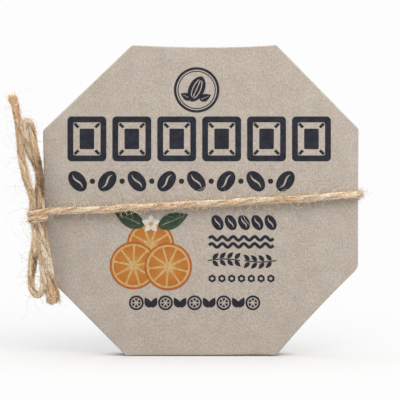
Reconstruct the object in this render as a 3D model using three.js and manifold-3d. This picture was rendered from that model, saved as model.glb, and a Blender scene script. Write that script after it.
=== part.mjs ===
// An orange chocolate bar in its shut octagonal pack of kraft board, tied once round with jute twine,
// which ends in a small bow at the pack's left edge.
// Millimetres. +X is to the viewer's right, -Y is towards the viewer and +Z is up. The origin is the
// middle of the pack's bottom face, on which it stands.

import * as THREE from 'three';
import { mergeVertices } from 'three/addons/utils/BufferGeometryUtils.js';
import Module from 'manifold-3d';

const wasm = await Module();
wasm.setup();

// Driving dimensions of the pack
const PACK_WIDTH = 100;
const PACK_HEIGHT = 98.6;
const PACK_DEPTH = 12;
const FOLD_RADIUS = 0.35;
const BASE_ARCH = 0.45;
const LEFT_LEAN = 0.9;
const RIGHT_LEAN = 0.15;
const TOP_LEFT_DROP = 0.1;

// The four cut corners: how far each runs across and rises. Board folded by hand is never quite even.
const CUT_BOTTOM_LEFT = { run: 25.5, rise: 25.7 };
const CUT_BOTTOM_RIGHT = { run: 26.3, rise: 28.0 };
const CUT_TOP_RIGHT = { run: 26.05, rise: 26.6 };
const CUT_TOP_LEFT = { run: 28.2, rise: 27.0 };

// Driving dimensions of the twine
const TWINE_WIDTH = 2.1;
const TWINE_LAY = 19;
const PLY_RADIUS = 0.62;
const PLY_REACH_UP = 0.45;
const PLY_REACH_OUT = 0.28;
const PLY_SIDES = 6;
const CORD_SIDES = 8;
const CLEARANCE = 0.3;
const GROOVE_OVERLAP = 0.02;
const WELD_DISTANCE = 1e-4;

// Where the twine lies round the pack
const BAND_STEP = 2.4;
const BAND_CORNER_STEPS = 4;
const BAND_CORNER_RADIUS = 1.3;
const BAND_BITE = 0.85;
const BAND_LEFT_HEIGHT = 43.6;
const BAND_RIGHT_HEIGHT = 51.1;
const BAND_LEFT_END_Y = -3.2;

// The knot: two turns of the same twine round the bow's cord, the lower one a little further to the right
const KNOT_UPPER_CENTRE = { x: -51.6, y: -9.1 };
const KNOT_LOWER_CENTRE = { x: -51.3, y: -9.5 };
const KNOT_RADIUS = 2.2;
const KNOT_PITCH = 1.75;
const KNOT_FRONT_HEIGHT = 45.3;
const KNOT_START_DEGREES = 35;
const KNOT_SHIFT_DEGREES = { from: 200, to: 340 };
const KNOT_END_DEGREES = 590;
const KNOT_STEPS = 34;

const material = (name, colour, roughness) => {
  const made = new THREE.MeshStandardMaterial({ color: colour, roughness, metalness: 0 });
  made.name = name;
  return made;
};
const kraftBoard = material('kraft_board', 0xbdb0a3, 0.85);
const juteTwine = material('jute_twine', 0xc9ad8a, 0.95);

const toMesh = (name, geometry, look) => {
  const mesh = new THREE.Mesh(geometry, look);
  mesh.name = name;
  return mesh;
};

// A three.js geometry as a closed solid that can be joined and cut
function toSolid(geometry) {
  const bare = geometry.clone();
  bare.deleteAttribute('normal');
  bare.deleteAttribute('uv');
  const merged = mergeVertices(bare, WELD_DISTANCE);
  return new wasm.Manifold(new wasm.Mesh({
    numProp: 3,
    vertProperties: new Float32Array(merged.attributes.position.array),
    triVerts: new Uint32Array(merged.index.array),
  }));
}

// The solid back as a three.js geometry
function toGeometry(solid) {
  const mesh = solid.getMesh();
  const geometry = new THREE.BufferGeometry();
  geometry.setAttribute('position', new THREE.BufferAttribute(new Float32Array(mesh.vertProperties), 3));
  geometry.setIndex(new THREE.BufferAttribute(new Uint32Array(mesh.triVerts), 1));
  geometry.computeVertexNormals();
  return geometry;
}

// A smooth curve through points, with one step of an extrusion for each point
class RouteCurve extends THREE.CatmullRomCurve3 {
  getPointAt(t, target) {
    return this.getPoint(t, target);
  }

  getTangentAt(t, target) {
    return this.getTangent(t, target);
  }
}

function roundSection(radius, sides) {
  const section = new THREE.Shape();
  for (let side = 0; side < sides; side += 1) {
    const angle = (side / sides) * 2 * Math.PI;
    const x = radius * Math.cos(angle);
    const y = radius * Math.sin(angle);
    if (side === 0) section.moveTo(x, y);
    else section.lineTo(x, y);
  }
  section.closePath();
  return section;
}

function tubeAlong(points, radius, sides) {
  return new THREE.ExtrudeGeometry(roundSection(radius, sides), {
    steps: points.length - 1,
    extrudePath: new RouteCurve(points),
  });
}

// The pack's outline seen from the front, from the bottom left corner anticlockwise. Each corner has
// the radius of its fold, and the bow of the side that follows it: how far it goes into the pack, and
// over which share of the side's length its middle is.
function packCorners() {
  const left = -PACK_WIDTH / 2;
  const right = PACK_WIDTH / 2;
  return [
    { x: left + LEFT_LEAN + CUT_BOTTOM_LEFT.run, z: 0, fold: 0.5, bow: 0, bowAt: 0.5 },
    { x: right - CUT_BOTTOM_RIGHT.run, z: 0, fold: 1.1, bow: 0.47, bowAt: 0.44 },
    { x: right - RIGHT_LEAN, z: CUT_BOTTOM_RIGHT.rise, fold: 1.6, bow: 0.06, bowAt: 0.5 },
    { x: right, z: PACK_HEIGHT - CUT_TOP_RIGHT.rise, fold: 0.7, bow: 0, bowAt: 0.5 },
    { x: right - CUT_TOP_RIGHT.run, z: PACK_HEIGHT, fold: 0.5, bow: 0.72, bowAt: 0.36 },
    { x: left + CUT_TOP_LEFT.run, z: PACK_HEIGHT - TOP_LEFT_DROP, fold: 0.5, bow: 0, bowAt: 0.5 },
    { x: left, z: PACK_HEIGHT - CUT_TOP_LEFT.rise - TOP_LEFT_DROP, fold: 0.7, bow: 0, bowAt: 0.5 },
    { x: left + LEFT_LEAN, z: CUT_BOTTOM_LEFT.rise, fold: 0.9, bow: 0, bowAt: 0.5 },
  ];
}

function packOutline() {
  const corners = packCorners();
  const outline = new THREE.Shape();
  corners.forEach((corner, index) => {
    const next = corners[(index + 1) % corners.length];
    const last = corners[(index + corners.length - 1) % corners.length];
    const at = new THREE.Vector2(corner.x, corner.z);
    const towardsNext = new THREE.Vector2(next.x, next.z).sub(at).normalize();
    const towardsLast = new THREE.Vector2(last.x, last.z).sub(at).normalize();
    const foldStart = at.clone().addScaledVector(towardsLast, corner.fold);
    const foldEnd = at.clone().addScaledVector(towardsNext, corner.fold);
    const sideEnd = new THREE.Vector2(next.x, next.z).addScaledVector(towardsNext, -next.fold);
    const outwards = new THREE.Vector2(towardsNext.y, -towardsNext.x);
    const bowed = foldEnd.clone().lerp(sideEnd, corner.bowAt).addScaledVector(outwards, -2 * corner.bow);
    if (index === 0) outline.moveTo(foldStart.x, foldStart.y);
    outline.quadraticCurveTo(at.x, at.y, foldEnd.x, foldEnd.y);
    outline.quadraticCurveTo(bowed.x, bowed.y, sideEnd.x, sideEnd.y);
  });
  return outline;
}

// The left and right walls lean, so their places depend on the height
function leftWallAt(z) {
  const top = PACK_HEIGHT - CUT_TOP_LEFT.rise - TOP_LEFT_DROP;
  const bottom = CUT_BOTTOM_LEFT.rise;
  return -PACK_WIDTH / 2 + LEFT_LEAN * ((top - z) / (top - bottom));
}

function rightWallAt(z) {
  const top = PACK_HEIGHT - CUT_TOP_RIGHT.rise;
  const bottom = CUT_BOTTOM_RIGHT.rise;
  return PACK_WIDTH / 2 - RIGHT_LEAN * ((top - z) / (top - bottom));
}

// The creases under the front and back panels arch up between the pack's two bottom corners, while
// the bottom face between them stays flat.
function archBaseCreases(geometry) {
  const position = geometry.attributes.position;
  const halfBase = PACK_WIDTH / 2 - CUT_BOTTOM_RIGHT.run;
  const flatDepth = PACK_DEPTH / 2 - FOLD_RADIUS;
  for (let i = 0; i < position.count; i += 1) {
    const along = Math.abs(position.getX(i)) / halfBase;
    const towardsPanel = Math.max(0, (Math.abs(position.getY(i)) - flatDepth) / FOLD_RADIUS);
    const nearBase = position.getZ(i) < 2 * FOLD_RADIUS && along < 1;
    if (nearBase) {
      position.setZ(i, position.getZ(i) + BASE_ARCH * towardsPanel * (1 - along * along));
    }
  }
}

// The groove that the tight twine presses into the folded edges of a side wall
function wallGroove(wallX, side, z) {
  const halfDeep = PLY_RADIUS + PLY_REACH_OUT + CLEARANCE - GROOVE_OVERLAP;
  const halfHigh = PLY_RADIUS + PLY_REACH_UP + CLEARANCE;
  const section = new THREE.Shape();
  section.absellipse(wallX + side * bandFromWall(), z, halfDeep, halfHigh, 0, 2 * Math.PI, false, 0);
  const groove = new THREE.ExtrudeGeometry(section, {
    depth: 2 * PACK_DEPTH,
    bevelEnabled: false,
    curveSegments: 10,
  });
  groove.rotateX(Math.PI / 2);
  groove.translate(0, PACK_DEPTH, 0);
  return toSolid(groove);
}

function makePack() {
  const body = new THREE.ExtrudeGeometry(packOutline(), {
    depth: PACK_DEPTH - 2 * FOLD_RADIUS,
    curveSegments: 4,
    bevelThickness: FOLD_RADIUS,
    bevelSize: FOLD_RADIUS,
    bevelOffset: -FOLD_RADIUS,
    bevelSegments: 2,
  });
  body.rotateX(Math.PI / 2);
  body.translate(0, PACK_DEPTH / 2 - FOLD_RADIUS, 0);
  archBaseCreases(body);
  const solid = toSolid(body)
    .subtract(wallGroove(rightWallAt(BAND_RIGHT_HEIGHT), 1, BAND_RIGHT_HEIGHT))
    .subtract(wallGroove(leftWallAt(BAND_LEFT_HEIGHT), -1, BAND_LEFT_HEIGHT));
  return toMesh('pack', toGeometry(solid), kraftBoard);
}

// Where the middle of the twine lies off a panel, and off a wall that it presses into
const bandFromPanel = () => PLY_REACH_OUT + PLY_RADIUS + CLEARANCE;
const bandFromWall = () => bandFromPanel() - BAND_BITE;

// The height of the front run over x: it sags a little between the edge and the knot
const FRONT_RUN_START_X = -43.2;
const FRONT_RUN_HEIGHTS = [
  [-50, 45.9], [-43.2, 46.0], [-37.6, 46.2], [-28.8, 46.4], [-24.3, 47.0], [-16.1, 47.3], [-5, 48.0],
  [5.2, 48.4], [15.6, 49.1], [28.3, 49.6], [35.6, 50.0], [41.6, 50.7], [50, BAND_RIGHT_HEIGHT],
];

function frontRunHeight(x) {
  for (let i = 1; i < FRONT_RUN_HEIGHTS.length; i += 1) {
    const [x0, z0] = FRONT_RUN_HEIGHTS[i - 1];
    const [x1, z1] = FRONT_RUN_HEIGHTS[i];
    if (x <= x1) return THREE.MathUtils.lerp(z0, z1, Math.max(0, (x - x0) / (x1 - x0)));
  }
  return BAND_RIGHT_HEIGHT;
}

// A straight run as points a step apart, without its last point
function runBetween(from, to) {
  const steps = Math.max(1, Math.round(from.distanceTo(to) / BAND_STEP));
  return Array.from({ length: steps }, (_, i) => from.clone().lerp(to, i / steps));
}

// A quarter turn round one of the pack's upright edges, seen from above, from its first angle
function cornerTurn(centreX, centreY, fromDegrees, z) {
  return Array.from({ length: BAND_CORNER_STEPS }, (_, i) => {
    const angle = THREE.MathUtils.degToRad(fromDegrees + (90 * i) / BAND_CORNER_STEPS);
    return new THREE.Vector3(
      centreX + BAND_CORNER_RADIUS * Math.cos(angle),
      centreY + BAND_CORNER_RADIUS * Math.sin(angle),
      z,
    );
  });
}

// From the knot's front right to the front panel
const bandOutOfKnot = (front) => [
  new THREE.Vector3(-49.4, -9.9, 45.85),
  new THREE.Vector3(-48.4, -9.1, 45.9),
  new THREE.Vector3(-47.0, -8.2, 45.95),
  new THREE.Vector3(-45.3, front - 0.15, 46.0),
];

// From the left wall to the knot's back left
const bandIntoKnot = (left) => [
  new THREE.Vector3(left, BAND_LEFT_END_Y, 43.3),
  new THREE.Vector3(left - 0.3, -4.9, 43.2),
  new THREE.Vector3(left - 1.3, -6.3, 43.1),
  new THREE.Vector3(left - 2.4, -7.2, 43.05),
];

// The band's middle line: out of the knot, over the front, round the back, and along the left wall
// into the knot again.
function bandRoute() {
  const front = -PACK_DEPTH / 2 - bandFromPanel();
  const back = -front;
  const right = rightWallAt(BAND_RIGHT_HEIGHT) + bandFromWall();
  const left = leftWallAt(BAND_LEFT_HEIGHT) - bandFromWall();
  const turn = BAND_CORNER_RADIUS;
  const frontRun = runBetween(
    new THREE.Vector3(FRONT_RUN_START_X, front, 0),
    new THREE.Vector3(right - turn, front, 0),
  );
  frontRun.forEach((point) => point.setZ(frontRunHeight(point.x)));
  const intoKnot = bandIntoKnot(left);
  return [
    ...bandOutOfKnot(front),
    ...frontRun,
    ...cornerTurn(right - turn, front + turn, -90, BAND_RIGHT_HEIGHT),
    ...runBetween(
      new THREE.Vector3(right, front + turn, BAND_RIGHT_HEIGHT),
      new THREE.Vector3(right, back - turn, BAND_RIGHT_HEIGHT),
    ),
    ...cornerTurn(right - turn, back - turn, 0, BAND_RIGHT_HEIGHT),
    ...runBetween(
      new THREE.Vector3(right - turn, back, BAND_RIGHT_HEIGHT),
      new THREE.Vector3(left + turn, back, BAND_LEFT_HEIGHT),
    ),
    ...cornerTurn(left + turn, back - turn, 90, BAND_LEFT_HEIGHT),
    ...runBetween(new THREE.Vector3(left, back - turn, BAND_LEFT_HEIGHT), intoKnot[0]),
    ...intoKnot,
  ];
}

// Two plies laid round each other along a middle line, flattened where they press on the pack.
// The lay is left-handed: on the front of the pack the plies rise to the right.
function layTwine(route) {
  const curve = new RouteCurve(route);
  const up = new THREE.Vector3(0, 0, 1);
  let travelled = 0;
  const plies = [[], []];
  route.forEach((point, index) => {
    if (index > 0) travelled += point.distanceTo(route[index - 1]);
    const tangent = curve.getTangent(index / (route.length - 1));
    const outwards = new THREE.Vector3().crossVectors(tangent, up).normalize();
    const above = new THREE.Vector3().crossVectors(outwards, tangent).normalize();
    plies.forEach((ply, which) => {
      const angle = (travelled / TWINE_LAY) * 2 * Math.PI + which * Math.PI;
      ply.push(point.clone()
        .addScaledVector(outwards, PLY_REACH_OUT * Math.cos(angle))
        .addScaledVector(above, PLY_REACH_UP * Math.sin(angle)));
    });
  });
  const [first, second] = plies.map((ply) => toSolid(tubeAlong(ply, PLY_RADIUS, PLY_SIDES)));
  return first.add(second);
}

const makeBand = () => toMesh('band', toGeometry(layTwine(bandRoute())), juteTwine);

// The knot's turns start at the front right, where the band comes in, and end at the back left.
function knotRoute() {
  return Array.from({ length: KNOT_STEPS + 1 }, (_, i) => {
    const degrees = THREE.MathUtils.lerp(KNOT_START_DEGREES, KNOT_END_DEGREES, i / KNOT_STEPS);
    const angle = THREE.MathUtils.degToRad(degrees);
    const lower = THREE.MathUtils.smoothstep(degrees, KNOT_SHIFT_DEGREES.from, KNOT_SHIFT_DEGREES.to);
    const centreX = THREE.MathUtils.lerp(KNOT_UPPER_CENTRE.x, KNOT_LOWER_CENTRE.x, lower);
    const centreY = THREE.MathUtils.lerp(KNOT_UPPER_CENTRE.y, KNOT_LOWER_CENTRE.y, lower);
    return new THREE.Vector3(
      centreX + KNOT_RADIUS * Math.cos(angle),
      centreY - KNOT_RADIUS * Math.sin(angle),
      KNOT_FRONT_HEIGHT - (KNOT_PITCH * (degrees - 90)) / 360,
    );
  });
}

const makeKnot = () => toMesh('knot', toGeometry(layTwine(knotRoute())), juteTwine);

// The bow's upper loop, which goes on down through the knot's turns as the bow's lower end
const UPPER_LOOP_ROUTE = [
  [-53.0, -7.4, 47.2], [-52.2, -6.6, 50.4], [-51.3, -5.9, 53.2], [-51.1, -5.5, 55.9],
  [-51.6, -5.4, 59.0], [-52.9, -5.6, 62.1], [-54.4, -6.0, 65.3], [-55.4, -6.5, 68.5],
  [-55.9, -6.8, 71.2], [-55.9, -6.9, 72.7], [-55.5, -7.0, 73.8], [-54.8, -7.1, 74.2],
  [-54.0, -7.2, 73.7], [-53.5, -7.2, 72.4], [-53.1, -7.3, 70.2], [-52.6, -7.4, 66.6],
  [-51.9, -7.6, 63.2], [-51.2, -7.8, 60.0], [-50.8, -8.0, 56.6], [-50.6, -8.3, 53.0],
  [-50.7, -8.7, 49.8], [-51.0, -9.0, 47.4], [-51.3, -9.3, 45.6], [-51.2, -9.5, 43.4],
  [-50.5, -9.6, 41.6], [-49.9, -9.7, 39.2], [-49.4, -9.7, 36.4], [-48.9, -9.5, 33.4],
  [-48.3, -9.0, 30.2], [-47.5, -8.4, 27.0], [-47.0, -7.9, 24.0], [-46.8, -7.7, 21.2],
  [-46.3, -7.7, 16.4],
];

// The bow's lower loop, which hangs at the pack's left edge
const LOWER_LOOP_ROUTE = [
  [-52.5, -9.0, 41.3], [-52.2, -9.0, 39.2], [-52.3, -8.7, 36.6], [-52.6, -8.4, 33.6],
  [-53.0, -8.2, 30.6], [-53.4, -8.0, 27.6], [-53.6, -7.9, 25.0], [-53.5, -7.8, 22.8],
  [-53.2, -7.7, 21.2], [-52.6, -7.6, 20.05], [-51.6, -7.5, 19.4], [-50.5, -7.5, 20.0],
  [-49.9, -7.4, 21.2], [-49.6, -7.4, 22.8], [-49.5, -7.3, 25.4], [-49.7, -7.3, 28.6],
  [-50.2, -7.3, 32.0], [-50.8, -7.3, 35.2], [-51.4, -7.3, 38.3], [-51.9, -7.3, 41.0],
];

// The bow's upper end, stiff enough to stand up beside the loop
const UPPER_END_ROUTE = [
  [-52.7, -10.7, 47.0], [-52.8, -10.9, 48.6], [-53.1, -10.7, 50.4], [-53.8, -10.3, 52.8],
  [-54.7, -9.9, 55.4], [-55.5, -9.6, 58.2], [-56.1, -9.3, 61.2], [-56.6, -9.0, 64.2],
  [-56.9, -8.8, 67.2], [-57.1, -8.8, 70.2], [-57.5, -8.7, 73.2], [-58.0, -8.5, 76.2],
  [-58.5, -8.3, 78.8], [-59.1, -8.1, 81.0], [-59.5, -8.0, 82.2],
];

function makeCord(name, route) {
  const points = route.map(([x, y, z]) => new THREE.Vector3(x, y, z));
  const tube = mergeVertices(tubeAlong(points, TWINE_WIDTH / 2, CORD_SIDES));
  return toMesh(name, tube, juteTwine);
}

function makeBow() {
  const bow = new THREE.Group();
  bow.add(makeCord('bow_upper_loop', UPPER_LOOP_ROUTE));
  bow.add(makeCord('bow_lower_loop', LOWER_LOOP_ROUTE));
  bow.add(makeCord('bow_upper_end', UPPER_END_ROUTE));
  return bow;
}

const chocolateBar = new THREE.Group();
chocolateBar.add(makePack());
chocolateBar.add(makeBand());
chocolateBar.add(makeKnot());
chocolateBar.add(makeBow());

export default chocolateBar;
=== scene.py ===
"""An orange chocolate bar in its shut octagonal pack of kraft board, tied once round with jute twine in a
small bow at the pack's left edge.

Metres, with +X to the viewer's right, -Y towards the viewer and +Z up. The print is drawn in millimetres on
the front panel, x to the right and z up from the floor, and scaled when its pieces are made."""

import math

import bpy
import numpy as np
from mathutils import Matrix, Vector
from mathutils.geometry import tessellate_polygon


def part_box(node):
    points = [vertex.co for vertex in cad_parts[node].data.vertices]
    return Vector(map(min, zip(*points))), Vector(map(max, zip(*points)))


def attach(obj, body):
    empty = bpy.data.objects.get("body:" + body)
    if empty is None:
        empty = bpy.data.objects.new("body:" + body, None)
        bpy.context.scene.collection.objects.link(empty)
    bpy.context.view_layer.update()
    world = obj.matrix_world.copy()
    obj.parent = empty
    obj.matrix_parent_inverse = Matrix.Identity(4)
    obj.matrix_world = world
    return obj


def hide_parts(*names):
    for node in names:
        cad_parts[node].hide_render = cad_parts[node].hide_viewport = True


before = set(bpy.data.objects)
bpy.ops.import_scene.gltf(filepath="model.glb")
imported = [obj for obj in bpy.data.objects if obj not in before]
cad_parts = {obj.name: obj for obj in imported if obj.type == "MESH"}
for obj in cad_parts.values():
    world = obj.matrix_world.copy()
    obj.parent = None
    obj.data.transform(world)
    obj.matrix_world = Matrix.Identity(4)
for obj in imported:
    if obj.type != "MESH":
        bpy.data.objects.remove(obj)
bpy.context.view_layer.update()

MM = 0.001
TURN = 2 * math.pi
BODY = "root"
SEED = 20

PACK_LOW, PACK_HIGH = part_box("pack")
FRONT = PACK_LOW.y
BACK = PACK_HIGH.y

# Camera: level, square to the front panel, and more than half a metre away
CAMERA_DISTANCE = 0.6
CAMERA_ACROSS = -0.00024
CAMERA_HEIGHT = 0.04945
VIEW_WIDTH = 0.12664
SENSOR_WIDTH = 36


def add_object(name, data, place=(0, 0, 0)):
    made = bpy.data.objects.new(name, data)
    made.location = place
    bpy.context.scene.collection.objects.link(made)
    return made


def make_camera():
    data = bpy.data.cameras.new("camera")
    data.sensor_width = SENSOR_WIDTH
    data.lens = SENSOR_WIDTH * CAMERA_DISTANCE / VIEW_WIDTH
    data.clip_start = 0.01
    camera = add_object("camera", data, (CAMERA_ACROSS, FRONT - CAMERA_DISTANCE, CAMERA_HEIGHT))
    camera.rotation_euler = (math.radians(90), 0, 0)
    bpy.context.scene.camera = camera


# Meshes

def unit(vectors):
    return vectors / np.maximum(np.linalg.norm(vectors, axis=-1, keepdims=True), 1e-12)


def square_to(tangent, vectors):
    """The directions of vectors, made square to tangents"""
    return unit(vectors - tangent * (vectors * tangent).sum(-1, keepdims=True))


def add_mesh(name, points, groups, material, attributes=None, crease=None):
    """A mesh object. Each group is an array of faces with as many corners as it has columns."""
    mesh = bpy.data.meshes.new(name)
    mesh.from_pydata(points, [], [face for group in groups for face in group.tolist()])
    mesh.shade_smooth()
    if crease is not None:
        mesh.set_sharp_from_angle(angle=math.radians(crease))
    for key, values in (attributes or {}).items():
        layer = mesh.attributes.new(key, "FLOAT", "POINT")
        layer.data.foreach_set("value", np.asarray(values, np.float32))
    mesh.materials.append(material)
    return add_object(name, mesh)


def add_piece(name, points, groups, material, attributes=None, crease=None, replaced=()):
    """A piece of the object, which may replace nodes of the CAD model"""
    piece = add_mesh(name, points, groups, material, attributes, crease)
    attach(piece, BODY)
    if replaced:
        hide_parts(*replaced)
    return piece


def closed_tubes(rings, tints):
    """Points, face groups and the points' tints of tubes that are given as (tubes, rings, sides, 3)"""
    index = np.arange(rings[..., 0].size).reshape(rings.shape[:3])
    beside = np.roll(index, -1, axis=2)
    walls = np.stack([index[:, :-1], beside[:, :-1], beside[:, 1:], index[:, 1:]], axis=-1).reshape(-1, 4)
    ends = np.concatenate([index[:, 0, ::-1], index[:, -1]])
    return rings.reshape(-1, 3), [walls, ends], np.broadcast_to(tints, index.shape).ravel()


def tube_bundle(centres, outward, radii, sides, tints):
    """Round closed tubes side by side. centres and outward are (tubes, points, 3), and radii and tints are
    (tubes, points)."""
    tangent = unit(np.gradient(centres, axis=1))
    across = square_to(tangent, outward)
    other = np.cross(tangent, across)
    angles = TURN * np.arange(sides)[:, None] / sides
    spokes = np.cos(angles) * across[:, :, None] + np.sin(angles) * other[:, :, None]
    return closed_tubes(centres[:, :, None] + radii[:, :, None, None] * spokes, tints[:, :, None])


def join_parts(parts):
    """Several (points, face groups, tints) as one"""
    points, groups, tints = zip(*parts)
    starts = np.cumsum([0] + [len(part) for part in points])
    moved = [group + start for part, start in zip(groups, starts) for group in part]
    return np.concatenate(points), moved, np.concatenate(tints)


# Lines that twine follows

def arc_lengths(line):
    return np.concatenate([[0], np.cumsum(np.linalg.norm(np.diff(line, axis=0), axis=1))])


def along_line(at, along, values):
    """What the rows of values are between the lengths along that they belong to"""
    return np.stack([np.interp(at, along, values[:, k]) for k in range(3)], axis=-1)


def resampled(line, count):
    """The line again, with that many points at even distances"""
    along = arc_lengths(line)
    return along_line(np.linspace(0, along[-1], count), along, line)


def smooth_line(points, step):
    """A Catmull-Rom curve through the points, with points about a step apart"""
    p = np.array(points, float)
    p = np.vstack([2 * p[0] - p[1], p, 2 * p[-1] - p[-2]])
    t = np.linspace(0, 1, 24, endpoint=False)[:, None]
    spans = [
        0.5 * (2 * b + (c - a) * t + (2 * a - 5 * b + 4 * c - d) * t**2 + (3 * b - a - 3 * c + d) * t**3)
        for a, b, c, d in zip(p[:-3], p[1:-2], p[2:-1], p[3:])
    ]
    line = np.vstack([*spans, p[-2:-1]])
    return resampled(line, max(2, round(arc_lengths(line)[-1] / step) + 1))


def wobble(rng, s, wavelength, rows=1):
    """Smooth random values about -1 to 1 along the lengths s, different in each row"""
    total = 0
    for octave in (1, 0.53, 0.29):
        shift = rng.uniform(0, TURN, (rows, 1))
        stretch = rng.uniform(0.8, 1.25, (rows, 1))
        total = total + octave * np.sin(TURN * s * stretch / (wavelength * octave) + shift)
    return total / 1.4


def smooth_step(values, low, high):
    t = np.clip((values - low) / (high - low), 0, 1)
    return t * t * (3 - 2 * t)


def hump(values, middle, width):
    return np.exp(-(((values - middle) / width) ** 2))


def profile(base, *terms, humps=()):
    """A rule for values along a twine: a base and what is added to it. A term is a size, the two lengths
    between which it comes in and, if it goes again, the two between which it goes. A hump is a size, a middle
    and a width. Lengths below 0 are counted from the twine's end."""
    def rule(s, length):
        total = base + 0 * s
        for size, *places in terms:
            rise, full, *fall = [place + length * (place < 0) for place in places]
            share = smooth_step(s, rise, full)
            if fall:
                share = share * (1 - smooth_step(s, *fall))
            total = total + size * share
        for size, middle, width in humps:
            total = total + size * hump(s, middle, width)
        return total
    return rule


# Jute twine: two plies of fibre strands laid left-handed round each other

TWINE_WIDTH = 0.0021
TWINE_LAY = 0.019
PLY_TURN = 0.012
PLIES = 2
STRANDS_PER_PLY = 26
PLY_OFFSET = 0.00049
PLY_HALF_OUT = 0.00044
PLY_HALF_SIDE = 0.00074
STRAND_RADIUS = 0.000105
STRAND_STEP = 0.0007
STRAND_SIDES = 4
CORE_SHARE = 0.86
# The ply cores are dark as painted shade between the strands
CORE_PAINTED_SHADE_TINT = 0.05
GROOVE_SHADE = 0.5
# Tints may go below 0, for painted shade
TINT_RANGE = (-0.35, 1.0)
FIBRES_IN_LOCK = 9
BRISTLE_RADIUS = 0.000075
BRISTLE_POINTS = 9
LINE_STEP = 0.0002


class Twine:
    """A piece of twine: its line, and the directions along it and across it at each place.

    phase is how far its plies have turned at its start. width gives its width along it as a share of the
    usual one, tone how much lighter than usual it is, partly its own colour and partly painted light and
    shade, and the painted shade rule how much painted shade darkens its right side.
    slack is the length of its end over which it is unlaid. There, slant is how much shorter it is at the
    right than at the left, rounded how much shorter at its sides than in its middle, and uneven how much the
    lengths of its strands differ."""

    def __init__(self, points, phase, width=profile(1), tone=profile(0), painted_shade=profile(0), slack=0.0,
                 slant=0.0, rounded=0.0, uneven=0.0):
        self.line = smooth_line(points, LINE_STEP)
        self.along = arc_lengths(self.line)
        self.length = self.along[-1]
        self.phase = phase
        self.width = lambda s: width(s, self.length)
        self.tone = lambda s: tone(s, self.length)
        self.painted_shade = lambda s: painted_shade(s, self.length)
        self.slack = slack
        self.slant = slant
        self.rounded = rounded
        self.uneven = uneven
        self.tangent = unit(np.gradient(self.line, axis=0))
        self.across = np.empty_like(self.line)
        current = np.array([0, -1, 0.01])
        for i, tangent in enumerate(self.tangent):
            current = square_to(tangent, current)
            self.across[i] = current

    def at(self, s, angle=0.0):
        """Places at the lengths s, and there the direction along it and the one out of it at an angle"""
        place = along_line(s, self.along, self.line)
        tangent = unit(along_line(s, self.along, self.tangent))
        across = square_to(tangent, along_line(s, self.along, self.across))
        angle = np.asarray(angle)[..., None]
        out = np.cos(angle) * across + np.sin(angle) * np.cross(tangent, across)
        return place + np.maximum(s - self.length, 0)[..., None] * tangent, tangent, out

    def radius(self, s):
        return TWINE_WIDTH / 2 * self.width(s)

    def aside(self, points, s):
        """How far to the right points at the lengths s are, as a share of its radius"""
        return (points - self.at(s)[0])[..., 0] / self.radius(s)

    def cut_off(self, aside):
        """How much shorter its end is at a share of its radius to the right, or below 0 to the left"""
        return self.slant * (1 + aside) / 2 + self.rounded * aside**2

    def laid(self, s):
        """The length over which the plies are turned round each other, up to s"""
        return s - 0.8 * np.maximum(s - (self.length - self.slack), 0)


def ply_points(twine, s, ply, turn, depth):
    """Points of plies at lengths s and at the angle turn round the ply, where depth is 1 on its surface and 0
    in its middle. Also the directions that face out of the ply there."""
    lay = twine.phase + ply * math.pi - TURN * twine.laid(s) / TWINE_LAY
    place, tangent, out = twine.at(s, lay)
    width = twine.width(s)
    reach_out = (PLY_OFFSET + PLY_HALF_OUT * np.cos(turn) * depth) * width
    reach_side = PLY_HALF_SIDE * np.sin(turn) * depth * width
    offset = reach_out[..., None] * out + reach_side[..., None] * np.cross(tangent, out)
    return place + offset, unit(offset + 0.3 * STRAND_RADIUS * out)


def strand_ends(twine, rng, ply, turn):
    """Where each strand ends: cut on a slant, and a little unevenly"""
    last = np.full(ply.shape, twine.length)
    points, _ = ply_points(twine, last, ply, turn, 1.0)
    cut = twine.cut_off(twine.aside(points, last))
    return last - cut - twine.uneven * rng.uniform(0, 1, ply.shape) ** 2


def strand_tints(twine, rng, s, points, middle=0.55, spread=0.26, alike=2):
    """How light strands are, one row for each, at points that are at the lengths s along the twine, with the
    twine's painted light and shade and the painted shade on its right side. alike is how many strands
    beside each other have the same tint."""
    count = len(points)
    own = np.clip(rng.normal(middle, spread, (count // alike + 1, 1)), -0.1, 1.05)
    own = np.repeat(own, alike, axis=0)[:count]
    changing = 0.1 * wobble(rng, s, 0.012, count) + 0.1 * wobble(rng, s, 0.003, count)
    # Painted shade on the twine's right side, where it lies in shadow
    painted_shade_right = twine.painted_shade(s) * smooth_step(twine.aside(points, s), -0.2, 0.4)
    return np.clip(own + changing + 0.05 * wobble(rng, s, 0.03) + twine.tone(s) - painted_shade_right, *TINT_RANGE)


def surface_strands(twine, rng):
    count = PLIES * STRANDS_PER_PLY
    ply, slot = np.divmod(np.arange(count)[:, None], STRANDS_PER_PLY)
    share = np.linspace(0, 1, round(twine.length / STRAND_STEP) + 1)
    first_turn = TURN * slot / STRANDS_PER_PLY
    last = strand_ends(twine, rng, ply, first_turn + TURN * twine.laid(twine.length) / PLY_TURN)
    s = share * last
    even = share[None, :] * twine.length
    turn = first_turn + TURN * twine.laid(s) / PLY_TURN + 0.4 * wobble(rng, even, 0.006, count)
    depth = 1 + 0.04 * wobble(rng, even, 0.017) + 0.09 * wobble(rng, even, 0.003, count)
    points, outward = ply_points(twine, s, ply, turn, depth)
    radii = STRAND_RADIUS * rng.uniform(0.7, 1.35, (count, 1)) * (1 + 0.3 * wobble(rng, even, 0.0035, count))
    radii[:, -1] *= 0.5
    tints = strand_tints(twine, rng, s, points) - GROOVE_SHADE * smooth_step(-np.cos(turn), 0.0, 0.6)
    return tube_bundle(points, outward, radii, STRAND_SIDES, np.clip(tints, *TINT_RANGE))


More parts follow.
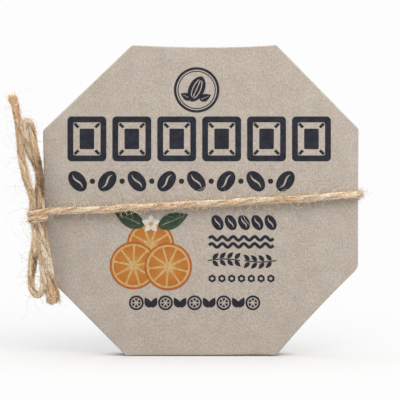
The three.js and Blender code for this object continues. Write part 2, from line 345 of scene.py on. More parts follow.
def ply_cores(twine):
    """A body in each ply, dark as painted shade, which closes the gaps between its strands"""
    turn = np.linspace(0, TURN, 12, endpoint=False)[None, :]
    reach = twine.length - twine.slant - twine.rounded - 2 * twine.uneven
    s = np.linspace(0, reach, round(twine.length / STRAND_STEP) + 1)[:, None] * np.ones((1, turn.size))
    rings = [ply_points(twine, s, ply, turn, CORE_SHARE)[0] for ply in range(PLIES)]
    return closed_tubes(np.stack(rings), CORE_PAINTED_SHADE_TINT)


def fibres(twine, rng, s, angle, out_share, radii, *tints):
    """Thin fibres at the lengths s, at angles round the twine and at a share of its radius"""
    place, _, out = twine.at(s, angle)
    points = place + (twine.radius(s) * out_share)[..., None] * out
    return tube_bundle(points, out, radii, 3, strand_tints(twine, rng, s, points, *tints))


def brush(twine, rng, count, reach, beyond, splay):
    """Loose fibres over the whole width of the twine's last part, like the hairs of a brush. splay is how far
    they spread beyond its width at their tips."""
    angle = np.sort(rng.uniform(0, TURN, (count, 1)), axis=0)
    depth = rng.uniform(0, 1, (count, 1)) ** 0.4
    towards_right = depth * twine.at(np.full((count, 1), twine.length), angle)[2][..., 0]
    last = twine.length - twine.cut_off(towards_right) + rng.normal(0, beyond, (count, 1))
    share = np.linspace(0, 1, BRISTLE_POINTS)
    s = last - reach * rng.uniform(0.7, 1.2, (count, 1)) * (1 - share)
    angle = angle + 0.22 * wobble(rng, s, 0.006, count)
    spread = splay * share**2 * rng.uniform(0, 1, (count, 1)) ** 3
    out_share = depth * (0.72 + 0.28 * share + spread)
    radii = BRISTLE_RADIUS * rng.uniform(0.6, 1.4, (count, 1)) * np.linspace(1, 0.6, BRISTLE_POINTS)
    return fibres(twine, rng, s, angle, out_share, radii, 0.48, 0.4, FIBRES_IN_LOCK)


# Loose fibres and hairs of the twine

HAIR_RADIUS = 0.000036
FIBRE_RADIUS = 0.000055
FIBRE_LENGTHS = (0.0015, 0.006)
FIBRES_PER_MM = 12
HAIR_GAP = 0.00007
# Hairs all along a twine: hairs in a millimetre, mean length, lean in degrees, curl, points and thickness
FUZZ = [
    (26, 0.0008, (15, 80), 500, 4, 1.25),
    (3.6, 0.0019, (25, 85), 420, 7, 1.25),
    (0.45, 0.0040, (30, 85), 260, 10, 1.3),
]
BOW_FUZZ_TINT = 0.62
BAND_FUZZ_TINT = 0.76


def loose_fibres(twine, rng):
    """Fibres that run along the twine over its surface, and dip into it at both ends"""
    count = round(twine.length / MM * FIBRES_PER_MM)
    share = np.linspace(0, 1, 8)
    length = rng.uniform(*FIBRE_LENGTHS, (count, 1))
    start = rng.uniform(0, 1, (count, 1)) * np.maximum(twine.length - length, 0)
    s = np.minimum(start + share * length, twine.length)
    angle = rng.uniform(0, TURN, (count, 1)) - TURN * s / TWINE_LAY
    angle = angle + rng.normal(0, 1.3, (count, 1)) * share
    lift = rng.uniform(0.0, 0.24, (count, 1)) * np.sin(math.pi * share)
    radii = FIBRE_RADIUS * rng.uniform(0.6, 1.5, (count, 1)) * np.ones_like(s)
    return fibres(twine, rng, s, angle, 0.86 + lift, radii, 0.66, 0.26, 1)


def keep_off_pack(hairs):
    """Hairs that would run into the pack lie on its panels and walls instead"""
    x, y, z = np.moveaxis(hairs, -1, 0)
    in_front = y[:, :1] < FRONT
    behind = y[:, :1] > BACK
    wall = PACK_HIGH.x + HAIR_GAP
    over_panel = np.abs(x) < wall
    y = np.where(in_front & over_panel, np.minimum(y, FRONT - 3 * HAIR_GAP), y)
    y = np.where(behind & over_panel, np.maximum(y, BACK + HAIR_GAP), y)
    x = np.where(~in_front & ~behind & over_panel, np.sign(x[:, :1]) * wall, x)
    return np.stack([x, y, z], axis=-1)


def grow_hairs(twine, rng, per_mm, mean_length, lean_degrees, curl, points, span=None):
    """Hairs that leave the twine at random places within a span of it and curl away: (hairs, points, 3)"""
    first, last = span or (0, twine.length)
    count = round((last - first) / MM * per_mm)
    s = rng.uniform(first, last, count)
    place, tangent, out = twine.at(s, rng.uniform(0, TURN, count))
    lean = np.radians(rng.uniform(*lean_degrees, count))[:, None]
    sense = rng.choice([-1, 1], count)[:, None]
    heading = unit(sense * np.cos(lean) * tangent + np.sin(lean) * out + 0.25 * rng.normal(size=(count, 3)))
    bend = rng.normal(size=(count, 3)) * curl
    length = mean_length * np.clip(rng.exponential(1, count), 0.3, 3.0)[:, None]
    step = length / (points - 1)
    line = [place + out * (0.78 * twine.radius(s))[:, None]]
    for _ in range(points - 1):
        line.append(line[-1] + heading * step)
        heading = unit(heading + np.cross(bend, heading) * step)
    return keep_off_pack(np.stack(line, axis=1))


def hair_mesh(hairs, rng, thick, tint):
    """Thin tapering tubes along hairs, as points, face groups and tints"""
    count = len(hairs)
    radii = HAIR_RADIUS * thick * rng.uniform(0.6, 1.4, (count, 1)) * np.linspace(1, 0.45, hairs.shape[1])
    outward = np.broadcast_to(np.array([0.31, -0.72, 0.62]), hairs.shape)
    tints = np.clip(rng.normal(tint, 0.16, (count, 1)), 0.1, 1) * np.ones(hairs.shape[1])
    return tube_bundle(hairs, outward, radii, 3, tints)


def fuzz(twine, rng, tint):
    """Hairs of three lengths that stand out all along a twine"""
    grown = [(grow_hairs(twine, rng, *habit), thick) for *habit, thick in FUZZ]
    return [hair_mesh(hairs, rng, thick, tint) for hairs, thick in grown]


# Hairs seen one by one in the photograph, from the bow's left round to the band: the x and z of each of their
# points in turn, in millimetres

BOW_HAIRS = [
    (-54.3, 46.9, -57.5, 46.5, -61.5, 44.2, -60.2, 42.2, -59.7, 40.3, -57.9, 38.0, -55.7, 35.8, -54.95,
     34.9, -55.7, 32.7, -56.5, 30.1, -56.2, 27.9, -56.7, 25.8),
    (-54.2, 25.4, -56.0, 25.3, -58.6, 24.9),
    (-54.3, 23.6, -56.2, 23.3, -57.5, 22.4),
    (-56.6, 53.4, -57.6, 53.9, -60.5, 53.4, -62.4, 51.7),
    (-54.9, 51.9, -56.4, 52.0, -58.4, 51.0, -60.2, 48.7),
    (-53.9, 43.8, -54.9, 42.8, -55.7, 41.1, -55.7, 39.0, -53.9, 37.9, -53.0, 37.6),
    (-56.9, 70.0, -58.4, 70.1, -60.0, 70.4, -61.5, 69.6, -62.6, 68.1, -61.5, 66.9, -60.0, 65.9, -58.3,
     65.9, -56.8, 66.6),
    (-60.5, 69.8, -60.1, 68.6, -59.3, 67.5),
    (-61.5, 60.1, -60.4, 61.1, -59.3, 62.3, -57.3, 62.7),
    (-60.7, 62.4, -60.0, 62.9, -58.3, 62.8, -56.0, 61.6),
    (-58.6, 78.9, -61.4, 78.8, -61.6, 77.0, -61.2, 75.4, -61.0, 71.7),
    (-55.2, 75.0, -53.9, 75.1, -52.3, 74.6, -51.5, 73.7, -51.75, 72.7),
    (-57.1, 79.6, -56.5, 79.2, -56.6, 76.8, -56.9, 75.4),
    (-58.9, 81.6, -58.6, 83.4, -58.3, 84.2),
    (-56.1, 56.0, -57.9, 55.0, -58.6, 53.2, -58.2, 51.8),
    (-53.9, 30.4, -55.9, 30.9, -57.0, 32.2),
    (-55.6, 63.6, -54.5, 60.2, -53.5, 57.1, -52.7, 53.9),
    (-55.7, 64.7, -54.8, 62.8, -53.9, 61.2, -53.2, 59.0),
    (-54.6, 59.6, -53.9, 57.0, -52.6, 53.6, -51.9, 51.6),
    (-55.1, 65.3, -54.4, 62.1, -54.1, 59.0, -53.2, 55.2),
    (-54.9, 61.4, -54.2, 58.7, -52.9, 56.0),
    (-60.5, 81.0, -61.4, 81.6, -61.9, 82.4),
    (-60.2, 82.2, -61.2, 82.9, -61.7, 82.6),
]
BOW_HAIRS_DEPTH = -0.0086
BAND_HAIRS = [
    (-36.9, 46.4, -36.3, 44.2, -35.8, 42.9, -34.5, 42.4, -33.1, 44.2, -33.4, 45.3, -33.9, 46.5),
    (-35.1, 47.3, -35.4, 48.5, -36.2, 49.8, -36.4, 50.8),
    (-45.0, 46.8, -46.4, 48.4, -46.1, 49.8),
    (-17.2, 47.6, -18.0, 48.9, -17.6, 50.6),
    (-5.6, 48.6, -4.3, 49.6, -2.2, 51.3, -0.5, 52.7, 1.2, 53.3),
    (2.2, 48.6, 2.4, 49.6, 2.5, 50.7, 3.1, 52.0),
    (2.3, 49.2, 3.7, 47.5, 4.6, 46.0, 5.6, 45.3),
    (-1.9, 47.6, -2.4, 47.0, -3.0, 45.5),
    (-6.0, 47.3, -7.4, 46.3, -9.4, 45.3),
    (10.3, 49.2, 10.8, 48.4, 11.5, 47.2, 12.6, 46.2),
    (16.0, 48.2, 15.5, 47.1, 13.9, 45.6),
    (11.4, 49.3, 11.9, 50.5, 13.0, 52.0),
    (18.4, 48.6, 20.2, 47.0, 22.3, 46.6, 23.4, 47.4),
    (28.2, 49.2, 28.6, 48.0, 30.8, 46.8, 33.05, 48.0, 34.2, 49.2),
    (33.0, 49.4, 33.9, 48.4, 34.5, 47.3),
    (39.7, 49.9, 39.0, 48.8, 38.1, 47.4),
    (44.0, 50.4, 44.8, 48.8, 46.2, 47.0, 47.6, 45.2),
    (41.2, 51.2, 42.6, 52.9, 45.4, 53.6),
    (-24.6, 46.1, -25.3, 44.9, -24.6, 43.7),
]


def drawn_hairs(routes, depth, rng):
    """Hairs along the given routes, all with the same number of points"""
    hairs = []
    for route in routes:
        x, z = np.reshape(route, (-1, 2)).T * MM
        shifts = rng.uniform(-0.0007, 0.0002, len(x)).cumsum() / len(x)
        hairs.append(resampled(smooth_line(np.stack([x, depth + shifts, z], axis=1), 0.0001), 28))
    return np.stack(hairs)


# The routes of the bow's cords. The upper loop goes on down through the knot as the bow's lower end.

UPPER_LOOP_ROUTE = [
    (-0.0524, -0.0090, 0.0455), (-0.0530, -0.0074, 0.0472), (-0.0522, -0.0066, 0.0504),
    (-0.0513, -0.0059, 0.0532), (-0.0511, -0.0055, 0.0559), (-0.0516, -0.0056, 0.0590),
    (-0.0529, -0.0063, 0.0621), (-0.0544, -0.0071, 0.0653), (-0.0554, -0.0077, 0.0685),
    (-0.0559, -0.0079, 0.0712), (-0.0559, -0.0079, 0.0727), (-0.0555, -0.0079, 0.0738),
    (-0.0548, -0.0078, 0.0742), (-0.0540, -0.0077, 0.0737), (-0.0535, -0.0075, 0.0724),
    (-0.0531, -0.0073, 0.0702), (-0.0526, -0.0074, 0.0666), (-0.0519, -0.0076, 0.0632),
    (-0.0512, -0.0078, 0.0600), (-0.0507, -0.0080, 0.0566), (-0.0505, -0.0083, 0.0530),
    (-0.0505, -0.0087, 0.0498), (-0.0507, -0.0090, 0.0474), (-0.0512, -0.0093, 0.0456),
    (-0.0511, -0.0095, 0.0434), (-0.0502, -0.0096, 0.0416), (-0.0496, -0.0097, 0.0392),
    (-0.0492, -0.0097, 0.0364), (-0.0488, -0.0095, 0.0334), (-0.0483, -0.0090, 0.0302),
    (-0.0478, -0.0084, 0.0270), (-0.0474, -0.0079, 0.0240), (-0.0469, -0.0077, 0.0212),
    (-0.0463, -0.0077, 0.0164),
]
LOWER_LOOP_ROUTE = [
    (-0.0525, -0.0090, 0.0432), (-0.0525, -0.0090, 0.0413), (-0.0522, -0.0090, 0.0392),
    (-0.0523, -0.0087, 0.0366), (-0.0526, -0.0084, 0.0336), (-0.0529, -0.0082, 0.0306),
    (-0.0532, -0.0080, 0.0276), (-0.0535, -0.0079, 0.0250), (-0.0535, -0.0078, 0.0228),
    (-0.0532, -0.0077, 0.0212), (-0.0526, -0.0076, 0.02005), (-0.0516, -0.0075, 0.0194),
    (-0.0505, -0.0077, 0.0200), (-0.0499, -0.0080, 0.0212), (-0.0496, -0.0082, 0.0228),
    (-0.0495, -0.0083, 0.0254), (-0.0497, -0.0081, 0.0286), (-0.0502, -0.0083, 0.0320),
    (-0.0508, -0.0086, 0.0352), (-0.0513, -0.0087, 0.0383), (-0.0518, -0.0082, 0.0410),
    (-0.0522, -0.0079, 0.0432),
]
UPPER_END_ROUTE = [
    (-0.0524, -0.0090, 0.0452), (-0.0527, -0.0107, 0.0470), (-0.0528, -0.0109, 0.0486),
    (-0.0531, -0.0107, 0.0504), (-0.0538, -0.0103, 0.0528), (-0.0547, -0.0099, 0.0554),
    (-0.0555, -0.0096, 0.0582), (-0.0561, -0.0093, 0.0612), (-0.0566, -0.0090, 0.0642),
    (-0.0569, -0.0088, 0.0672), (-0.0571, -0.0088, 0.0702), (-0.0575, -0.0087, 0.0732),
    (-0.0580, -0.0085, 0.0762), (-0.0585, -0.0083, 0.0788), (-0.0591, -0.0081, 0.0810),
    (-0.0595, -0.0080, 0.0822),
]


def upper_loop_width(s, length):
    """The lower end is drawn in where the cord was pinched, and opens like a brush below that"""
    from_end = length - s
    flare = np.clip((0.0074 - from_end) / 0.0034, 0, 1)
    tip = np.clip((0.004 - from_end) / 0.004, 0, 1.1)
    above = 1.13 + 0.16 * smooth_step(s, 0.071, 0.077) - 0.1 * hump(from_end, 0.0078, 0.0013)
    return above + 0.75 * flare**0.9 + 0.18 * tip


# The upper loop's left strand and its top are painted pale, which lifts them out of their shade, its
# right strand is darkened with painted shade down to the knot, and its lower end is painted pale as if
# lit and then is brown
UPPER_LOOP_TONE_AND_PAINTED_LIGHT = profile(
    -0.04, (0.5, 0.002, 0.008, 0.026, 0.030), (0.3, 0.028, 0.032, 0.040, 0.045),
    (-0.54, 0.041, 0.047, 0.053, 0.058), (0.62, 0.062, 0.069, 0.081, 0.084), (0.16, 0.085, 0.088),
)
# Painted shade on the right side of the right strand, darkest just over the knot and below it, and where
# the end is pinched
UPPER_LOOP_PAINTED_SHADE = profile(
    0, (0.35, 0.031, 0.036, 0.055, 0.060), (0.7, 0.043, 0.047, 0.053, 0.057),
    (1.05, 0.058, 0.062, 0.068, 0.076), humps=[(0.6, 0.0838, 0.0011)],
)
# The lower loop's left strand is loose and wide, and its right one a little
LOWER_LOOP_WIDTH = profile(1, (0.32, 0.006, 0.011, 0.014, 0.020), (0.12, 0.027, 0.031, 0.036, 0.040))
# It is painted pale below the knot and on its right strand, which lifts them out of the other strands'
# shadow. Its left strand is darkened with painted shade, most on its right side, where the other strands
# shade it.
LOWER_LOOP_PAINTED_LIGHT_AND_SHADE = profile(0.32, (-0.3, 0.009, 0.014), (0.42, 0.023, 0.028))
LOWER_LOOP_PAINTED_SHADE = profile(0, (0.8, 0.009, 0.013, 0.016, 0.020))
# The upper end is loose, fullest near its tip, and frayed and pale at the tip
UPPER_END_WIDTH = profile(0.94, (0.16, 0.004, 0.010), (0.1, -0.009, -0.003))
UPPER_END_TONE = profile(-0.12, (0.36, -0.007, -0.001))


def upper_loop_warmth(points):
    """Orange-brown at the cut end, and where the right strand leaves the loop's top"""
    height = points[:, 2]
    return 0.22 * (1 - smooth_step(height, 0.0215, 0.0245)) + 0.2 * hump(height, 0.0640, 0.0035)


def upper_end_warmth(points):
    return 0.25 * smooth_step(points[:, 2], 0.073, 0.077)


def make_cord(name, twine, rng, material, replaced, fills=(), warmth=None):
    """A cord's piece. warmth gives how orange-brown it is at its points."""
    points, groups, tints = join_parts([surface_strands(twine, rng), ply_cores(twine), *fills])
    warm = warmth(points) if warmth else np.zeros(len(points))
    return add_piece(name, points, groups, material, {"tint": tints, "warm": warm},
                     replaced=replaced)


def make_hairs(name, parts, material):
    points, groups, tints = join_parts(parts)
    return add_piece(name, points, groups, material, {"tint": tints})


def make_bow(material):
    """The bow's three cords with their loose hairs"""
    rng = np.random.default_rng(SEED)
    loop = Twine(UPPER_LOOP_ROUTE, 0.6, upper_loop_width, UPPER_LOOP_TONE_AND_PAINTED_LIGHT, UPPER_LOOP_PAINTED_SHADE,
                 slack=0.0075, slant=0.0009, rounded=0.0014, uneven=0.0004)
    lower = Twine(LOWER_LOOP_ROUTE, 2.1, LOWER_LOOP_WIDTH, LOWER_LOOP_PAINTED_LIGHT_AND_SHADE, LOWER_LOOP_PAINTED_SHADE)
    end = Twine(UPPER_END_ROUTE, 1.2, UPPER_END_WIDTH, UPPER_END_TONE, slack=0.005, rounded=0.0006,
                uneven=0.0014)
    # Name, twine, the brush at its end, where it is orange-brown, its far end and how it lies
    cords = [
        ("bow_upper_loop", loop, [(420, 0.0058, 0.0003, 0.15)], upper_loop_warmth, "bare", "loose"),
        ("bow_lower_loop", lower, [], None, "object", "hanging"),
        ("bow_upper_end", end, [(260, 0.006, 0.0006, 0.7)], upper_end_warmth, "bare", "loose"),
    ]
    pieces = []
    for name, twine, brushes, warmth, _, _ in cords:
        fills = [brush(twine, rng, *habit) for habit in brushes]
        pieces.append(make_cord(f"{name}_twine", twine, rng, material, [name], fills, warmth))
    drawn = hair_mesh(drawn_hairs(BOW_HAIRS, BOW_HAIRS_DEPTH, rng), rng, 1.35, 0.45)
    for piece, (name, twine, _, _, far_end, lay) in zip(pieces, cords):
        parts = [loose_fibres(twine, rng), *fuzz(twine, rng, BOW_FUZZ_TINT)]
        if twine is loop:
            parts.append(drawn)
        hairs = make_hairs(f"{name}_hairs", parts, material)


# The band and the knot: one length of twine that turns twice round the bow's cords and once round the pack

BAND_FROM_PANEL = 0.0012
BAND_FROM_WALL = 0.00035
BAND_CORNER_RADIUS = 0.0013
BAND_LEFT_HEIGHT = 0.0436
BAND_RIGHT_HEIGHT = 0.0511
KNOT_UPPER_CENTRE = np.array([-0.0516, -0.0091])
KNOT_LOWER_CENTRE = np.array([-0.0513, -0.0095])
KNOT_RADIUS = 0.0022
KNOT_PITCH = 0.00175
KNOT_FRONT_HEIGHT = 0.0453
KNOT_DEGREES = (590, 35)
OUT_OF_KNOT = [(-0.0484, -0.0091, 0.0459), (-0.0470, -0.0082, 0.04595)]
FRONT_RUN_HEIGHTS = [
    (-0.0432, 0.0460), (-0.0376, 0.0462), (-0.0288, 0.0464), (-0.0243, 0.0470), (-0.0161, 0.0473),
    (-0.0050, 0.0480), (0.0052, 0.0484), (0.0156, 0.0491), (0.0283, 0.0496), (0.0356, 0.0500),
    (0.0416, 0.0507),
]
# From the left wall to behind the knot: how far from the band's place at the wall, and y and z
INTO_KNOT = [
    (0, -0.0032, 0.0433), (0.0003, -0.0049, 0.0432), (0.0013, -0.0063, 0.0431), (0.0024, -0.0072, 0.04305),
]


def knot_turns():
    """Two turns, of which the lower one stands out a little further to the front and the right"""
    degrees = np.linspace(*KNOT_DEGREES, 40)
    angle = np.radians(degrees)
    lower = np.outer(smooth_step(degrees, 200, 340), KNOT_LOWER_CENTRE - KNOT_UPPER_CENTRE)
    x, y = (KNOT_UPPER_CENTRE + lower + KNOT_RADIUS * np.stack([np.cos(angle), -np.sin(angle)], axis=1)).T
    return np.stack([x, y, KNOT_FRONT_HEIGHT - KNOT_PITCH * (degrees - 90) / 360], axis=1)


def corner_turn(x, y, first_degrees, z):
    """A quarter turn round an upright edge of the pack, seen from above"""
    turns = [math.radians(first_degrees + share) for share in (0, 22.5, 45, 67.5, 90)]
    return [(x + BAND_CORNER_RADIUS * math.cos(a), y + BAND_CORNER_RADIUS * math.sin(a), z) for a in turns]


def band_route():
    front = FRONT - BAND_FROM_PANEL
    back = BACK + BAND_FROM_PANEL
    right = wall_at(BAND_RIGHT_HEIGHT, 2, 3) + BAND_FROM_WALL
    left = wall_at(BAND_LEFT_HEIGHT, 7, 6) - BAND_FROM_WALL
    turn = BAND_CORNER_RADIUS
    return [
        *knot_turns(),
        *OUT_OF_KNOT,
        (-0.0453, front - 0.00015, 0.0460),
        *[(x, front, z) for x, z in FRONT_RUN_HEIGHTS],
        *corner_turn(right - turn, front + turn, -90, BAND_RIGHT_HEIGHT),
        *corner_turn(right - turn, back - turn, 0, BAND_RIGHT_HEIGHT),
        (0, back, (BAND_LEFT_HEIGHT + BAND_RIGHT_HEIGHT) / 2),
        *corner_turn(left + turn, back - turn, 90, BAND_LEFT_HEIGHT),
        *[(left - out, y, z) for out, y, z in INTO_KNOT],
    ]


def band_width(s, length):
    return 0.97 + 0.03 * np.sin(s / 0.0062)


# The band is paler near the knot, in its middle and where it comes to the pack's right edge, and darker
# before that
BAND_TONE = profile(
    -0.04, (0.08, 0.022, 0.027), (0.36, 0.107, 0.117, 0.124, 0.130),
    humps=[(0.12, 0.038, 0.007), (0.16, 0.079, 0.007), (-0.14, 0.101, 0.006)],
)


def band_warmth(points):
    """Orange-brown on the panel's left half"""
    return 0.26 * hump(points[:, 0], -0.0175, 0.007) * (points[:, 1] < FRONT)


# Where the band has many long curling hairs: hairs in a millimetre, length, lean, curl, points and span
TANGLES = [
    (2.2, 0.0024, (20, 80), 520, 9, (0.023, 0.045)),
    (1.0, 0.0026, (20, 80), 480, 9, (0.045, 0.072)),
    (2.8, 0.0030, (20, 85), 480, 9, (0.072, 0.108)),
    (1.4, 0.0022, (20, 80), 520, 9, (0.108, 0.123)),
]


def make_band(material):
    rng = np.random.default_rng(SEED + 1)
    band = Twine(band_route(), 0.4, band_width, BAND_TONE)
    make_cord("band_and_knot_twine", band, rng, material, ["band", "knot"], warmth=band_warmth)
    drawn = hair_mesh(drawn_hairs(BAND_HAIRS, FRONT - BAND_FROM_PANEL, rng), rng, 2.1, 0.95)
    tangled = [hair_mesh(grow_hairs(band, rng, *habit), rng, 1.9, 0.95) for habit in TANGLES]
    make_hairs("band_fibres", [loose_fibres(band, rng)], material)
    make_hairs("band_hairs", [*fuzz(band, rng, BAND_FUZZ_TINT), drawn, *tangled], material)


# The pack's outline, as in the CAD model, and its board

FOLD_RADIUS = 0.00035
LEFT_LEAN = 0.0009
RIGHT_LEAN = 0.00015
TOP_LEFT_DROP = 0.0001
CUT_BOTTOM_LEFT = (0.0255, 0.0257)
CUT_BOTTOM_RIGHT = (0.0263, 0.0280)
CUT_TOP_RIGHT = (0.02605, 0.0266)
CUT_TOP_LEFT = (0.0282, 0.0270)
BAND_BITE = 0.0007
BAND_BITE_WIDTH = 0.0011
SWELL = 0.00013
SWELL_WAVES = 0.00003
SLIT_DEPTH = 0.0003
BOARD = 0.00045
SIDE_STEP = 0.0006
SLIT_SHARES = (0.475, 0.525)
CORNER_SHARES = (0, 0.12, 0.25, 0.36, 0.44, *SLIT_SHARES, 0.56, 0.64, 0.75, 0.88)
PANEL_SHARES = (0.04, 0.15, 0.3, 0.45, 0.6, 0.72, 0.82, 0.9, 0.95, 0.98, 0.992, 1.0)
BASE_ARCH_DEPTH = 0.003
# Height of the front crease over the floor, along the bottom from left to right
BASE_ARCH_X = (-0.0236, -0.0215, -0.0100, 0.0080, 0.0135, 0.0190, 0.0218, 0.0237)
BASE_ARCH_Z = (0.0, 0.00024, 0.00030, 0.00034, 0.00052, 0.00056, 0.00040, 0.0)
HINGE_WALL = 0
# Rows of points round the walls: how far the first is from the front, how far the last is from the back
# panel's board, and how many there are
WALL_ROWS = (0.0009, 0.0008, 9)
# Rows at the seam: how far each is from the back panel's board, and 1 where it is in the groove
SEAM_ROWS = ((0.00026, 0), (0.00022, 1), (0.00006, 1), (0, 0))
SEAM_INSET = 0.00004
BOARD_CREASE = 38
# Wear on each wall's folded edges, from the bottom anticlockwise; on the upper-left slant (1.0) it is also a
# painted highlight along the fold
WEAR_AND_HIGHLIGHT_BY_WALL = (0.5, 0.45, 0.4, 0.45, 0.6, 1.0, 0.8, 0.7)
SEAM_WEAR = 0.4
BACK_EDGE_WEAR = 0.6


def pack_corners():
    """From the bottom left anticlockwise: x, z, the fold's size, and the next side's bow and its centre"""
    left, right, top = PACK_LOW.x, PACK_HIGH.x, PACK_HIGH.z
    return [
        (left + LEFT_LEAN + CUT_BOTTOM_LEFT[0], 0, 0.0005, 0, 0.5),
        (right - CUT_BOTTOM_RIGHT[0], 0, 0.0011, -0.00047, 0.44),
        (right - RIGHT_LEAN, CUT_BOTTOM_RIGHT[1], 0.0016, -0.00006, 0.5),
        (right, top - CUT_TOP_RIGHT[1], 0.0007, 0, 0.5),
        (right - CUT_TOP_RIGHT[0], top, 0.0005, -0.00072, 0.36),
        (left + CUT_TOP_LEFT[0], top - TOP_LEFT_DROP, 0.0005, 0, 0.5),
        (left, top - CUT_TOP_LEFT[1] - TOP_LEFT_DROP, 0.0007, 0, 0.5),
        (left + LEFT_LEAN, CUT_BOTTOM_LEFT[1], 0.0009, 0, 0.5),
    ]


def wall_at(z, lower, upper):
    """Where a leaning side wall is at a height, between two of the pack's corners"""
    (x0, z0), (x1, z1) = (pack_corners()[number][:2] for number in (lower, upper))
    return x0 + (x1 - x0) * (z - z0) / (z1 - z0)


def quadratic(a, b, c, t):
    t = np.asarray(t)[:, None]
    return (1 - t) ** 2 * a + 2 * t * (1 - t) * b + t**2 * c


def pack_outline():
    """Points round the pack, their outward directions and walls, and 1 where a slit parts two walls"""
    corners = pack_corners()
    points, wall, slit = [], [], []
    for i, (*_, fold, bow, bow_at) in enumerate(corners):
        before, at, after = (np.array(corners[number % 8][:2]) for number in (i - 1, i, i + 1))
        to_next = unit(after - at)
        fold_end = at + fold * to_next
        side_end = after - corners[(i + 1) % 8][2] * to_next
        out = np.array([to_next[1], -to_next[0]])
        control = fold_end + (side_end - fold_end) * bow_at + 2 * bow * out
        steps = round(np.linalg.norm(side_end - fold_end) / SIDE_STEP)
        points.append(quadratic(at + fold * unit(before - at), at, fold_end, CORNER_SHARES))
        points.append(quadratic(fold_end, control, side_end, np.arange(steps) / steps))
        wall += [i] * (len(CORNER_SHARES) + steps)
        slit += [float(share in SLIT_SHARES) for share in CORNER_SHARES] + [0.0] * steps
    points = np.concatenate(points)
    along = np.roll(points, -1, axis=0) - np.roll(points, 1, axis=0)
    outward = unit(np.stack([along[:, 1], -along[:, 0]], axis=1))
    return points, outward, np.array(wall), np.array(slit)


def panel_swell(x, z):
    """How far a panel stands out at a place: it bows a little over the bar and has slow waves"""
    across = x / PACK_HIGH.x
    up = 2 * z / PACK_HIGH.z - 1
    room = np.clip(1 - across**2, 0, 1) * np.clip(1 - up**2, 0, 1)
    waves = np.sin(95 * x + 1.1) * np.sin(80 * z + 0.4) + 0.6 * np.sin(170 * x - 60 * z + 2)
    return room * (SWELL + SWELL_WAVES * waves)


def bite(points):
    """How far the twine presses the folded edges in at the left and right walls"""
    height = np.where(points[:, 0] > 0, BAND_RIGHT_HEIGHT, BAND_LEFT_HEIGHT)
    at_wall = np.abs(points[:, 0]) > 0.9 * PACK_HIGH.x
    return BAND_BITE * hump(points[:, 1], height, BAND_BITE_WIDTH) * at_wall


def base_arch(points, y):
    """How far the bottom is raised near the front: its crease arches up between the two bottom corners"""
    near_front = np.clip((FRONT + BASE_ARCH_DEPTH - y) / BASE_ARCH_DEPTH, 0, 1)
    rise = np.interp(points[:, 0], BASE_ARCH_X, BASE_ARCH_Z, 0, 0)
    return np.where(points[:, 1] < 3 * FOLD_RADIUS, rise * near_front, 0)


def make_pack(material):
    outline, outward, wall, slit = pack_outline()
    centre = np.array([0, PACK_HIGH.z / 2])
    worn_and_highlit = np.array(WEAR_AND_HIGHLIGHT_BY_WALL)[wall]
    free = (wall != HINGE_WALL).astype(float)
    rows, wear_and_highlight = [], []

    def add_row(points, y, row_wear_and_highlight):
        rows.append(np.stack([points[:, 0], y * np.ones(len(points)), points[:, 1]], axis=1))
        wear_and_highlight.append(row_wear_and_highlight * np.ones(len(points)))

    def panel_rows(face, shares):
        inner = outline - outward * (FOLD_RADIUS + bite(outline))[:, None]
        for share in shares:
            points = centre + (inner - centre) * share
            swell = panel_swell(*points.T)
            points[:, 1] += base_arch(outline, face) * smooth_step(share, 0.95, 1.0)
            add_row(points, face + np.sign(face) * swell, 0.0)

    def edge_row(y, inset, row_wear_and_highlight, cut=0.0):
        points = outline - outward * (inset + bite(outline) + cut)[:, None]
        points[:, 1] = np.maximum(points[:, 1], 0) + base_arch(outline, y)
        add_row(points, y, row_wear_and_highlight)

    panel_rows(FRONT, PANEL_SHARES)
    # The front fold is lighter where worn, and on the upper-left slant also with a painted highlight along it
    for degrees in (18, 36, 54, 72, 90):
        angle = math.radians(degrees)
        edge_row(FRONT + FOLD_RADIUS * (1 - math.cos(angle)), FOLD_RADIUS * (1 - math.sin(angle)),
                 worn_and_highlit * math.sin(angle + 0.5) ** 2, SLIT_DEPTH * slit * (degrees > 60))
    from_front, from_board, number = WALL_ROWS
    for y in np.linspace(FRONT + from_front, BACK - BOARD - from_board, number):
        edge_row(y, 0, 0.0, SLIT_DEPTH * slit)
    for before, depth in SEAM_ROWS:
        groove = SLIT_DEPTH * np.maximum(slit, depth * free)
        edge_row(BACK - BOARD - before, SEAM_INSET, SEAM_WEAR * free, groove)
    radius = FOLD_RADIUS * np.where(free > 0, 0.4, 1.0)
    for degrees in (0, 30, 60, 90):
        angle = math.radians(degrees)
        edge_row(BACK - radius * (1 - math.sin(angle)), SEAM_INSET + radius * (1 - math.cos(angle)),
                 BACK_EDGE_WEAR * worn_and_highlit)
    panel_rows(BACK, PANEL_SHARES[-2::-1])

    count = len(outline)
    middles = [(0, face + np.sign(face) * panel_swell(0, centre[1]), centre[1]) for face in (FRONT, BACK)]
    index = np.arange(len(rows) * count).reshape(-1, count)
    beside = np.roll(index, -1, axis=1)
    walls = np.stack([index[:-1], index[1:], beside[1:], beside[:-1]], axis=-1).reshape(-1, 4)
    middle = np.full(count, index.size)
    front_fan = np.stack([middle, index[0], beside[0]], axis=1)
    back_fan = np.stack([middle + 1, beside[-1], index[-1]], axis=1)
    points = np.concatenate([*rows, middles])
    add_piece("pack_board", points, [walls, front_fan, back_fan], material,
              {"wear_and_highlight": np.concatenate([*wear_and_highlight, [0, 0]])}, crease=BOARD_CREASE, replaced=["pack"])


# The print: thin flat shapes on the front panel. A shape is a list of outlines in millimetres, the outer one
# first and then its holes.

def curve(x, z):
    """Points from their x and their z, of which one may be the same for all"""
    return np.stack(np.broadcast_arrays(x, z), axis=1).astype(float)


